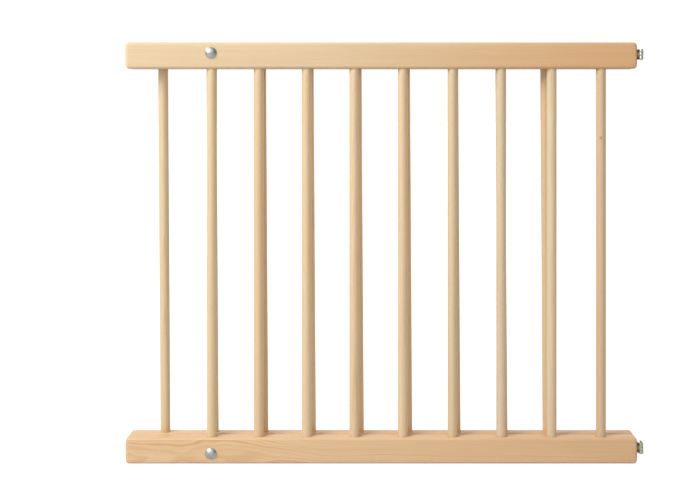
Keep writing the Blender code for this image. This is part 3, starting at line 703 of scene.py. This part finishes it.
def make_rail(node, bar_nodes, cutters, material, body):
    """A planed rail with eased edges, its bars' seats and its other holes."""
    low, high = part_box(node)
    shape = rounded_block(low, high, RAIL_EDGE_RADIUS, RAIL_CELL, RAIL_EDGE_STEPS)
    crown_ends(shape, low, high)
    sand(shape, RAIL_SANDING, RAIL_SANDING_SCALE, len(node) + low.z)
    rail = mesh_object(f"{node}_wood", shape)
    for bar in bar_nodes:
        bar_low, bar_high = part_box(bar)
        middle = (bar_low + bar_high) / 2
        x = middle.x + bar_drift(bar, (low.z + high.z) / 2)
        mouth, floor = high.z, bar_low.z - SEAT_CLEARANCE
        if node.endswith("top_rail"):
            mouth, floor = low.z, bar_high.z + SEAT_CLEARANCE
        cutters.append(seat_cutter(x, middle.y, mouth, floor, (bar_high.x - bar_low.x) / 2))
    combine(rail, "DIFFERENCE", join(cutters[0], cutters[1:]))
    place_piece(shade(rail), material, body, node)


def worn_bar(reach, height, seed):
    """A sanded bar's radius at one height, by angle."""
    def worn(angle):
        around = Vector((math.cos(angle), math.sin(angle), 0.0)) * BAR_SANDING_ROUND
        place = around + Vector((0, 0, height * BAR_SANDING_ALONG + seed))
        return reach - BAR_SANDING * (0.5 + 0.5 * noise.noise(place))
    return worn


def make_bar(node, material, body):
    """A turned bar with rounded ends, sanded a little uneven and not quite straight."""
    low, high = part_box(node)
    picker = random.Random(node)
    radius, length = (high.x - low.x) / 2, high.z - low.z
    seed = picker.uniform(0, 100)
    bow_angle, bow = picker.uniform(0, 2 * math.pi), picker.uniform(0.2, 1.0) * BAR_BOW
    aside = bow * Vector((math.cos(bow_angle), math.sin(bow_angle), 0.0))
    foot = Vector((*middle_of(node).xy, low.z))
    plain, count = length - 2 * BAR_CHAMFER, round(length / BAR_STATION)
    ends = [(radius - BAR_CHAMFER * inset, BAR_CHAMFER * up) for inset, up in BAR_END]
    stations = ends + [(radius, BAR_CHAMFER + plain * k / count) for k in range(1, count)]
    stations += [(reach, length - height) for reach, height in reversed(ends)]
    rings = []
    for reach, height in stations:
        lean = X_AXIS * bar_drift(node, low.z + height)
        centre = foot + lean + aside * math.sin(math.pi * height / length) ** 2
        place = Matrix.Translation(centre)
        rings.append(circle(reach, height, place, BAR_SEGMENTS, worn_bar(reach, height, seed)))
    place_piece(shade(loft(f"{node}_wood", rings), 50), material, body, node)


# --- Metal ---

def plated_steel(name, tone, roughness, tarnish, film_tone):
    """Zinc-plated steel: faint crystals, fine rubbing marks, and dull film where it is handled less."""
    material, tree, shader, coordinates = new_material(name)
    place = coordinates.outputs["Object"]
    crystal = tree.nodes.new("ShaderNodeTexVoronoi")
    crystal.inputs["Scale"].default_value = CRYSTAL_SCALE
    plug(tree, crystal.inputs["Vector"], place)
    grains = vector_calc(tree, "DOT_PRODUCT", crystal.outputs["Color"], (0.4, 0.3, 0.3))
    cloud = noise_field(tree, place, (160, 160, 160), (3, 5, 7), detail=4.0)
    rubbing = noise_field(tree, place, (2600, 500, 2600), (9, 2, 4), detail=2.0)
    pits = noise_field(tree, place, (3200, 3200, 3200), (1, 8, 5), detail=1.0)
    film = rise(tree, cloud, 0.62 - 0.3 * tarnish, 0.80 - 0.2 * tarnish)
    bright = mix(tree, grains, tone, [CRYSTAL_SHADE * value for value in tone])
    colour = mix(tree, calc(tree, "MULTIPLY", film, 0.75), bright, film_tone)
    plug(tree, shader.inputs["Base Color"], colour)
    shader.inputs["Metallic"].default_value = 1.0
    rough = calc(tree, "MULTIPLY_ADD", rubbing, 0.16, roughness - 0.08)
    rough = calc(tree, "MULTIPLY_ADD", grains, 0.08, rough)
    rough = calc(tree, "MULTIPLY_ADD", film, 0.18, rough)
    plug(tree, shader.inputs["Roughness"], rough)
    height = calc(tree, "MULTIPLY_ADD", pits, 0.6, calc(tree, "MULTIPLY", rubbing, 0.4))
    add_bump(tree, shader, height, 0.12, 0.03 * MM)
    return material


def thread_reach(outer, depth, pitch, height, limit=1.0):
    """The radius of a screw thread at one height, by angle, and at most the limit."""
    def reach(angle):
        turn = (height / pitch - angle / (2 * math.pi)) % 1.0
        crest = 1.0 - abs(2.0 * turn - 1.0)
        return min(limit, outer - depth * (1.0 - min(1.0, crest * THREAD_FLANK)))
    return reach


def square_reach(half):
    """A square with slightly rounded corners, by angle."""
    def reach(angle):
        flat = half / max(abs(math.cos(angle)), abs(math.sin(angle)))
        return min(flat, half * SQUARE_CORNER)
    return reach


def facing_back(x, y, z):
    """A place whose Z axis points to the gate's back."""
    return Matrix.Translation((x, y, z)) @ Matrix.Rotation(math.radians(-90), 4, "X")


def make_bolt(level, material):
    """A carriage bolt: domed head with a thin lip, square neck, and a thread at the back."""
    node = f"{level}_bolt"
    low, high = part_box(node)
    face_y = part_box(f"front_{level}_rail")[0].y
    middle = middle_of(node)
    place = facing_back(middle.x, face_y, middle.z)
    head_radius, length = (high.x - low.x) / 2, high.y - face_y
    dome_radius, dome_height = head_radius - BOLT_LIP_INSET, face_y - low.y - BOLT_LIP
    ball = (dome_radius ** 2 + dome_height ** 2) / (2 * dome_height)
    widest = math.degrees(math.asin(dome_radius / ball))
    profile = arc((0.0, ball - BOLT_LIP - dome_height), ball, -90, widest, BOLT_DOME_STEPS)
    profile += [(head_radius - inset, -BOLT_LIP * share) for inset, share in BOLT_LIP_PROFILE]
    rings = [circle(radius, height, place, ROUND_SEGMENTS) for radius, height in profile]
    for height in (0.0, BOLT_NECK_LENGTH):
        rings.append(circle(0, height, place, ROUND_SEGMENTS, square_reach(BOLT_RADIUS)))
    plain_end = length - BOLT_THREAD_LENGTH
    for height in (BOLT_NECK_LENGTH + BOLT_SHOULDER, plain_end):
        rings.append(circle(BOLT_SHANK_RADIUS, height, place, ROUND_SEGMENTS))
    steps = round(BOLT_THREAD_LENGTH / BOLT_PITCH * THREAD_RINGS)
    for k in range(1, steps + 1):
        height = plain_end + BOLT_THREAD_LENGTH * k / steps
        limit = BOLT_RADIUS - max(0.0, height - (length - BOLT_POINT))
        thread = thread_reach(BOLT_THREAD_RADIUS, BOLT_THREAD_DEPTH, BOLT_PITCH, height, limit)
        rings.append(circle(0, height, place, ROUND_SEGMENTS, thread))
    place_piece(shade(loft(f"{node}_steel", rings), 28), material, "front_panel", node)


def make_washer(level, material):
    """A punched washer: rounded on the side the punch entered, crisp on the other."""
    node = f"{level}_washer"
    low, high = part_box(node)
    middle = middle_of(node)
    outer, thick = (high.x - low.x) / 2, high.y - low.y
    profile = [
        (WASHER_BORE, WASHER_BURR), (WASHER_BORE + WASHER_BURR, 0.0),
        (outer - WASHER_BURR, 0.0), (outer, WASHER_BURR),
        (outer, thick - WASHER_EASE), (outer - WASHER_EASE * 0.3, thick - WASHER_EASE * 0.3),
        (outer - WASHER_EASE, thick), (WASHER_BORE + WASHER_EASE * 0.6, thick),
        (WASHER_BORE + WASHER_EASE * 0.15, thick - WASHER_EASE * 0.2),
        (WASHER_BORE, thick - WASHER_EASE * 0.6),
    ]
    place = facing_back(middle.x, low.y, middle.z)
    washer = turned(f"{node}_steel", profile, place, ROUND_SEGMENTS, closed=True)
    place_piece(shade(washer), material, node, node)


def wing_rings(side, place, reach, height):
    """One wing as slices through its thickness, thin at the rim and thick at the root."""
    lobe = arc((reach - WING_LOBE, height - WING_LOBE), WING_LOBE, WING_START, WING_SWEEP, WING_STEPS)
    outline = [(WING_ROOT, WING_ROOT_HEIGHTS[0]), *lobe, (WING_ROOT, WING_ROOT_HEIGHTS[1])]
    middle = Vector(((reach - WING_LOBE) * 0.85, height * 0.55))
    rings = []
    for offset, size in WING_SLICES:
        flat = [middle + (Vector(point) - middle) * size for point in outline]
        rings.append([place @ Vector((side * point.x, offset * MM, point.y)) for point in flat])
    return rings


def make_wing_nut(level, material):
    """A cast wing nut: a conical boss and two lobed wings run together with soft fillets."""
    node = f"{level}_wing_nut"
    low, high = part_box(node)
    middle = middle_of(node)
    place = facing_back(middle.x, low.y, middle.z)
    reach, height = (high.x - low.x) / 2 - CAST_SKIN, high.y - low.y - CAST_SKIN
    nut = turned(f"{node}_steel", NUT_BOSS, place, ROUND_SEGMENTS)
    nut = join(nut, [loft("wing", wing_rings(side, place, reach, height)) for side in (-1, 1)])
    remesh = nut.modifiers.new("cast", "REMESH")
    remesh.mode = "VOXEL"
    remesh.voxel_size = CAST_VOXEL
    smooth = nut.modifiers.new("fillets", "SMOOTH")
    smooth.factor = 0.5
    smooth.iterations = CAST_SMOOTHING
    apply_modifiers(nut)
    combine(nut, "DIFFERENCE", turned("bore", NUT_BORE, place, ROUND_SEGMENTS))
    place_piece(shade(nut, 45), material, node, node)


def make_screw(node, direction, material, body):
    """A cross-recessed wood screw whose head rests on the plate. Its point is in the wood."""
    low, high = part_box(node)
    axis = 0 if direction.x else 1
    start = middle_of(node)
    start[axis] = low[axis]
    turn = direction.to_track_quat("Z", "Y").to_matrix().to_4x4()
    spin = random.Random(node).uniform(0, 90)
    place = Matrix.Translation(start) @ turn @ Matrix.Rotation(math.radians(spin), 4, "Z")
    total = (high - low)[axis]
    seat = total - SCREW_HEAD_HEIGHT
    rings = [circle(0.05 * MM, 0.0, place, SMALL_SEGMENTS)]
    threaded = seat - SCREW_NECK[1]
    steps = round(threaded / SCREW_PITCH * SCREW_THREAD_RINGS)
    for k in range(1, steps + 1):
        height = threaded * k / steps
        taper = min(1.0, SCREW_POINT + height / SCREW_TAPER)
        thread = thread_reach(SCREW_RADIUS * taper, SCREW_THREAD_DEPTH * taper, SCREW_PITCH, height)
        rings.append(circle(0, height, place, SMALL_SEGMENTS, thread))
    dome_height = SCREW_HEAD_HEIGHT - SCREW_HEAD_RIM
    profile = [
        (SCREW_RADIUS * 0.9, seat - SCREW_NECK[0]), (SCREW_HEAD_RADIUS - 0.15 * MM, seat - SCREW_NECK[0]),
        (SCREW_HEAD_RADIUS, seat), (SCREW_HEAD_RADIUS, seat + SCREW_HEAD_RIM),
    ]
    for k in range(1, SCREW_DOME_STEPS + 1):
        angle = math.pi / 2 * k / SCREW_DOME_STEPS
        profile.append((
            SCREW_HEAD_RADIUS * math.cos(angle), seat + SCREW_HEAD_RIM + dome_height * math.sin(angle)
        ))
    rings += [circle(radius, height, place, SMALL_SEGMENTS) for radius, height in profile]
    screw = loft(f"{node}_steel", rings)
    arm, slit = SCREW_HEAD_RADIUS * RECESS_ARM, RECESS_HALF_WIDTH
    for quarter in (0, 90):
        cross = place @ Matrix.Rotation(math.radians(quarter), 4, "Z")
        slices = []
        for rise_above, grown in RECESS_LAYERS:
            corners = ((-arm, -slit), (arm, -slit), (arm, slit), (-arm, slit))
            slices.append([cross @ Vector((x * grown, y, total + rise_above)) for x, y in corners])
        combine(screw, "DIFFERENCE", loft("recess", slices))
    place_piece(shade(screw, 30), material, body, node)


def strip_outline(path, thickness):
    """The outline of a bent strip that follows a path of (x, y) points."""
    points = [Vector(point) for point in path]
    left, right = [], []
    for i, point in enumerate(points):
        before, after = points[max(0, i - 1)], points[min(len(points) - 1, i + 1)]
        along = (after - before).normalized()
        aside = Vector((-along.y, along.x)) * thickness / 2
        left.append(point + aside)
        right.append(point - aside)
    return left + right[::-1]


def make_leaf(node, path, windows, hole_places, material, body):
    """A hinge leaf: a strip rolled round the pin, windowed for the other leaf's knuckles."""
    low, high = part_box(node)
    outline = strip_outline(path, LEAF_THICKNESS)
    leaf = loft(f"{node}_steel", [[(x, y, z) for x, y in outline] for z in (low.z, high.z)])
    for window_low, window_high in windows:
        combine(leaf, "DIFFERENCE", block("window", window_low, window_high))
    for x, y, z in hole_places:
        combine(leaf, "DIFFERENCE", drill(x, y, z, X_AXIS, LEAF_HOLE_RADIUS, LEAF_HOLE_REACH))
    far_y = high.y - LEAF_CORNER
    outline = arc((far_y, low.z + LEAF_CORNER), LEAF_CORNER, -90, 90, LEAF_CORNER_STEPS)
    outline += arc((far_y, high.z - LEAF_CORNER), LEAF_CORNER, 0, 90, LEAF_CORNER_STEPS)
    outline += [(low.y - OVERRUN, high.z), (low.y - OVERRUN, low.z)]
    rings = [[(x, y, z) for y, z in outline] for x in (low.x - LEAF_SPARE, high.x + LEAF_SPARE)]
    combine(leaf, "INTERSECT", loft("leaf_corners", rings))
    place_piece(shade(ease_edges(leaf, LEAF_EASE)), material, body, node)


def cranked_path(plate_x, far_y, centre, roll_radius):
    """The rail leaf's path: flat on the rail's end, cranked over to the pin and rolled round it."""
    bend_start, bend_end = (centre.y + offset for offset in CRANK_BEND)
    path = [(plate_x, far_y), (plate_x, bend_start + 1.0 * MM)]
    for k in range(CRANK_STEPS + 1):
        share = k / CRANK_STEPS
        eased = share * share * (3 - 2 * share)
        path.append((
            plate_x + (centre.x - roll_radius - plate_x) * eased,
            bend_start + (bend_end - bend_start) * share,
        ))
    return path + arc(centre, roll_radius, 180, RAIL_LEAF_ROLL, ROLL_STEPS, 1)


def make_hinge(level, steel):
    """A small butt hinge: two leaves rolled round a pin, three knuckles, two screws in the rail."""
    pin_node = f"{level}_hinge_pin"
    rail_leaf, wall_leaf = f"{level}_hinge_rail_leaf", f"{level}_hinge_wall_leaf"
    screws = [f"{level}_hinge_screw_{index}" for index in (1, 2)]
    pin_low, pin_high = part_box(pin_node)
    rail_low, rail_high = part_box(rail_leaf)
    centre = middle_of(pin_node)
    roll_radius = BARREL_RADIUS - LEAF_THICKNESS / 2
    reach = BARREL_RADIUS + KNUCKLE_GAP
    third = (rail_high.z - rail_low.z) / 3
    plate_x, wall_x = rail_low.x + LEAF_THICKNESS / 2, centre.x + roll_radius
    half_window = third / 2 + KNUCKLE_GAP
    window = (
        (rail_low.x - OVERRUN, centre.y - reach, centre.z - half_window),
        (centre.x + reach, centre.y + reach, centre.z + half_window),
    )
    path = cranked_path(plate_x, rail_high.y, centre, roll_radius)
    holes = [(plate_x, *middle_of(screw).yz) for screw in screws]
    make_leaf(rail_leaf, path, [window], holes, steel, "front_panel")

    path = [(wall_x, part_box(wall_leaf)[1].y), (wall_x, centre.y)]
    path += arc(centre, roll_radius, 0, WALL_LEAF_ROLL, ROLL_STEPS, 1)
    windows = []
    for low_z, high_z in ((-third * 2, -third / 2), (third / 2, third * 2)):
        windows.append((centre + Vector((-reach, -reach, low_z)), centre + Vector((reach, reach, high_z))))
    holes = [(wall_x, y, z) for _, y, z in holes]
    make_leaf(wall_leaf, path, windows, holes, steel, wall_leaf)

    radius = roll_radius - LEAF_THICKNESS / 2 - PIN_PLAY
    profile = [(radius * share, pin_low.z + inset) for share, inset in PIN_END]
    profile += [(radius * share, pin_high.z - inset) for share, inset in reversed(PIN_END)]
    place = Matrix.Translation((centre.x, centre.y, 0))
    pin = turned(f"{pin_node}_steel", profile, place, SMALL_SEGMENTS)
    place_piece(shade(pin, 50), steel, "front_panel", pin_node)
    for screw in screws:
        make_screw(screw, X_AXIS, steel, "front_panel")


def make_plate(steel, rod_y, rod_z, rod_radius):
    """The latch's pressed plate, with a guide at each end for the rod, and its four screws."""
    low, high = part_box("latch_plate")
    left, right = low.x + PLATE_CORNER, high.x - PLATE_CORNER
    foot, top = low.z + PLATE_CORNER, high.z - PLATE_CORNER
    outline = []
    for start, corner in ((0, (right, top)), (90, (left, top)), (180, (left, foot)), (270, (right, foot))):
        outline += arc(corner, PLATE_CORNER, start, 90, PLATE_CORNER_STEPS)
    back_y = low.y + PLATE_THICKNESS
    plate = loft("latch_plate_steel", [[(x, y, z) for x, z in outline] for y in (low.y, back_y)])
    ease_edges(plate, PLATE_EASE)

    # a guide's end view: straight feet under a round crown
    outer, foot_y = high.y - rod_y - 0.02 * MM, low.y + PLATE_THICKNESS / 2
    profile = [(foot_y + up, -outer - spread) for up, spread in GUIDE_FOOT]
    profile += arc((rod_y, 0.0), outer, -90, 180, GUIDE_STEPS)
    profile += [(foot_y + up, outer + spread) for up, spread in reversed(GUIDE_FOOT)]
    for start in (low.x + GUIDE_SETBACK, high.x - GUIDE_SETBACK - GUIDE_LENGTH):
        rings = [[(x, y, rod_z + z) for y, z in profile] for x in (start, start + GUIDE_LENGTH)]
        combine(plate, "UNION", ease_edges(loft("guide", rings), PLATE_EASE))
    bore = drill((low.x + high.x) / 2, rod_y, rod_z, X_AXIS, rod_radius + ROD_PLAY, high.x - low.x)
    combine(plate, "DIFFERENCE", bore)
    for screw in LATCH_SCREWS:
        middle = middle_of(screw)
        hole = drill(middle.x, low.y, middle.z, Y_AXIS, PLATE_HOLE_RADIUS, LEAF_HOLE_REACH)
        combine(plate, "DIFFERENCE", hole)
        make_screw(screw, Y_AXIS, steel, "rear_panel")
    place_piece(shade(plate), steel, "rear_panel", "latch_plate")


def make_latch(steel):
    """The slide latch: a plate with two guides, a round-nosed rod and a turned knob."""
    rod_low, rod_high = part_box("latch_rod")
    knob_low, knob_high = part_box("latch_knob")
    rod_y, rod_z = middle_of("latch_rod").yz
    knob_x = middle_of("latch_knob").x
    radius, length = (rod_high.z - rod_low.z) / 2, rod_high.x - rod_low.x
    make_plate(steel, rod_y, rod_z, radius)

    profile = [(0.0, 0.0)]
    for k in range(1, ROD_NOSE_STEPS + 1):
        angle = math.pi / 2 * k / ROD_NOSE_STEPS
        across = ROD_NOSE_FLAT + (radius - ROD_NOSE_FLAT) * math.sin(angle)
        profile.append((across, ROD_NOSE * (1 - math.cos(angle))))
    profile += [(radius - inset, length - back) for inset, back in ROD_TAIL] + [(0.0, length)]
    place = Matrix.Translation((rod_low.x, rod_y, rod_z)) @ Matrix.Rotation(math.radians(90), 4, "Y")
    rod = turned("latch_rod_steel", profile, place, ROUND_SEGMENTS)
    socket = drill(knob_x, knob_low.y + 2 * MM, rod_z, Y_AXIS, KNOB_STEM_RADIUS + 0.05 * MM, 2 * MM)
    combine(rod, "DIFFERENCE", socket)
    place_piece(shade(rod, 30), steel, "latch_rod", "latch_rod")

    ball, total = (knob_high.x - knob_low.x) / 2, knob_high.y - knob_low.y
    ball_foot = total - 2 * ball
    profile = [(0.0, 0.0), (KNOB_STEM_RADIUS, 0.0)]
    profile += [(radius, ball_foot + height) for radius, height in KNOB_NECK]
    profile += arc((0.0, total - ball), ball, -90, 180, KNOB_STEPS, KNOB_BALL_START)
    place = facing_back(knob_x, knob_low.y, rod_z)
    knob = turned("latch_knob_steel", profile, place, ROUND_SEGMENTS)
    place_piece(shade(knob, 40), steel, "latch_rod", "latch_knob")


# --- The gate ---

def rail_material(node):
    low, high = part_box(node)
    pith, tilt, contrast, crook, lively, tones_with_falloff = RAIL_PINE[node]
    tilt = [math.radians(angle) for angle in tilt]
    log = (0, pith, tilt, RAIL_RING_GAP, crook, lively)
    return pine(f"pine_{node}", (low + high) / 2, log, tones_with_falloff, contrast)


def bar_material(node):
    low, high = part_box(node)
    picker = random.Random(f"{node}_grain")
    around, away = picker.uniform(0, 2 * math.pi), picker.uniform(*BAR_HEART)
    pith = (away * math.cos(around), away * math.sin(around), 0.0)
    tilt = [math.radians(picker.uniform(-BAR_TILT, BAR_TILT)) for _ in range(2)] + [0.0]
    side, _, index = node.split("_")
    # a bar's tone holds painted light falloff across the gate as well as its own wood tone
    tones_with_falloff = [BAR_TONES_WITH_FALLOFF[side][int(index) - 1]] * 2
    log = (2, pith, tilt, BAR_RING_GAP, None, 1.0)
    return pine(f"pine_{node}", (low + high) / 2, log, tones_with_falloff, BAR_CONTRAST, BAR_KNOTS.get(node, ()))


def fitting_cutters(side, level, low, high):
    """Cutters for a rail's bolt hole or slot and for its screws' pilot holes."""
    bolt = middle_of(f"{level}_bolt")
    if side == "front":
        cutters = [drill(bolt.x, (low.y + high.y) / 2, bolt.z, Y_AXIS, BOLT_HOLE_RADIUS, BOLT_HOLE_REACH)]
        for index in (1, 2):
            screw = f"{level}_hinge_screw_{index}"
            _, y, z = middle_of(screw)
            depth = high.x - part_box(screw)[0].x + PILOT_SPARE
            cutters.append(drill(high.x, y, z, X_AXIS, PILOT_RADIUS, depth))
        return cutters
    slide = next(joint for joint in frame["joints"] if joint["name"] == "panel_slide")
    cutters = [slot_cutter(bolt.x, bolt.x + slide["range_m"][1], bolt.z, low.y, high.y)]
    screws = LATCH_SCREWS if level == "top" else []
    for screw in screws:
        x, _, z = middle_of(screw)
        depth = high.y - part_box(screw)[0].y + PILOT_SPARE
        cutters.append(drill(x, high.y, z, Y_AXIS, PILOT_RADIUS, depth))
    return cutters


def make_panel(side):
    """One panel: two rails and the bars between them, with the holes its fittings need."""
    body = f"{side}_panel"
    bars = [f"{side}_bar_{index}" for index in PANEL_BARS]
    for level in ("top", "bottom"):
        node = f"{side}_{level}_rail"
        make_rail(node, bars, fitting_cutters(side, level, *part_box(node)), rail_material(node), body)
    for bar in bars:
        make_bar(bar, bar_material(bar), body)


def make_camera():
    camera = bpy.data.objects.new("camera", bpy.data.cameras.new("camera"))
    bpy.context.scene.collection.objects.link(camera)
    face_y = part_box("front_top_rail")[0].y
    camera.location = (CAMERA_RIGHT, face_y - CAMERA_DISTANCE, CAMERA_HEIGHT)
    camera.rotation_euler = (math.radians(90), 0, 0)
    camera.data.sensor_width = 36.0
    camera.data.lens = CAMERA_LENS
    camera.data.shift_x, camera.data.shift_y = CAMERA_SHIFT
    bpy.context.scene.camera = camera


def add_key_light():
    light = bpy.data.lights.new("key", "AREA")
    light.shape = "DISK"
    light.size = KEY_SIZE
    light.energy = KEY_POWER
    light.color = KEY_COLOUR
    lamp = bpy.data.objects.new("key", light)
    bpy.context.scene.collection.objects.link(lamp)
    lamp.location = KEY_PLACE
    lamp.rotation_euler = (Vector(KEY_AIM) - Vector(KEY_PLACE)).to_track_quat("-Z", "Y").to_euler()


def seen_or_cast(tree, seen, cast):
    """One strength where the camera looks straight at it, and another for the light it gives."""
    path = tree.nodes.new("ShaderNodeLightPath")
    difference = calc(tree, "SUBTRACT", seen, cast)
    return calc(tree, "MULTIPLY_ADD", path.outputs["Is Camera Ray"], difference, cast)


def light_surroundings(tree, background):
    """White behind the gate and in its gloss, and dimmer for the soft light it gives.

    The gloss has a brighter side in front, and the light from the right and below is warmer.
    """
    path = tree.nodes.new("ShaderNodeLightPath")
    direction = tree.nodes.new("ShaderNodeTexCoord").outputs["Generated"]

    def towards(side):
        return vector_calc(tree, "DOT_PRODUCT", direction, side)

    cast = rise(tree, towards(Z_AXIS), 0.3, 1.0, AMBIENT_LIGHT, AMBIENT_LIGHT * ZENITH_SHARE)
    backdrop = rise(tree, towards(Y_AXIS), 0.0, 0.5, 0.0, WHITE_IN_GLOSS)
    in_gloss = calc(tree, "MAXIMUM", backdrop, rise(tree, towards(BRIGHT_SIDE), 0.15, 0.97, *FRONT_IN_GLOSS))
    strength = seen_or_cast(tree, WHITE_SEEN, cast)
    gloss_change = calc(tree, "SUBTRACT", in_gloss, strength)
    strength = calc(tree, "MULTIPLY_ADD", path.outputs["Is Glossy Ray"], gloss_change, strength)
    plug(tree, background.inputs["Strength"], strength)

    unseen = calc(tree, "SUBTRACT", 1.0, path.outputs["Is Camera Ray"])
    warmth = calc(tree, "MULTIPLY", rise(tree, towards(FILL_SIDE), -0.3, 0.8), unseen)
    plug(tree, background.inputs["Color"], mix(tree, warmth, WHITE, FILL_COLOUR))


def make_studio():
    """A white studio: bright surroundings, a pale floor, and one soft key from the upper left front."""
    scene = bpy.context.scene
    scene.view_settings.view_transform = "Standard"
    scene.world = bpy.data.worlds.new("studio")
    scene.world.use_nodes = True
    tree = scene.world.node_tree
    light_surroundings(tree, tree.nodes["Background"])

    shape = bmesh.new()
    bmesh.ops.create_grid(shape, x_segments=2, y_segments=2, size=FLOOR_SIZE)
    bmesh.ops.translate(shape, vec=(0, 0, cad_low.z - FLOOR_DROP), verts=shape.verts)
    floor = mesh_object("floor", shape)
    material, tree, shader, _ = new_material("floor")
    shader.inputs["Base Color"].default_value = FLOOR_TONE
    shader.inputs["Roughness"].default_value = 0.9
    shader.inputs["Specular IOR Level"].default_value = 0.1
    shader.inputs["Emission Color"].default_value = (*WHITE, 1.0)
    plug(tree, shader.inputs["Emission Strength"], seen_or_cast(tree, FLOOR_SEEN, FLOOR_CAST))
    floor.data.materials.append(material)
    add_key_light()


steels = {name: plated_steel(name, *finish) for name, finish in STEELS.items()}
for panel_side in ("front", "rear"):
    make_panel(panel_side)
for rail_level in ("top", "bottom"):
    make_bolt(rail_level, steels["bolt_steel"])
    make_washer(rail_level, steels["bolt_steel"])
    make_wing_nut(rail_level, steels["bolt_steel"])
    make_hinge(rail_level, steels["hinge_steel"])
make_latch(steels["latch_steel"])
make_camera()
make_studio()
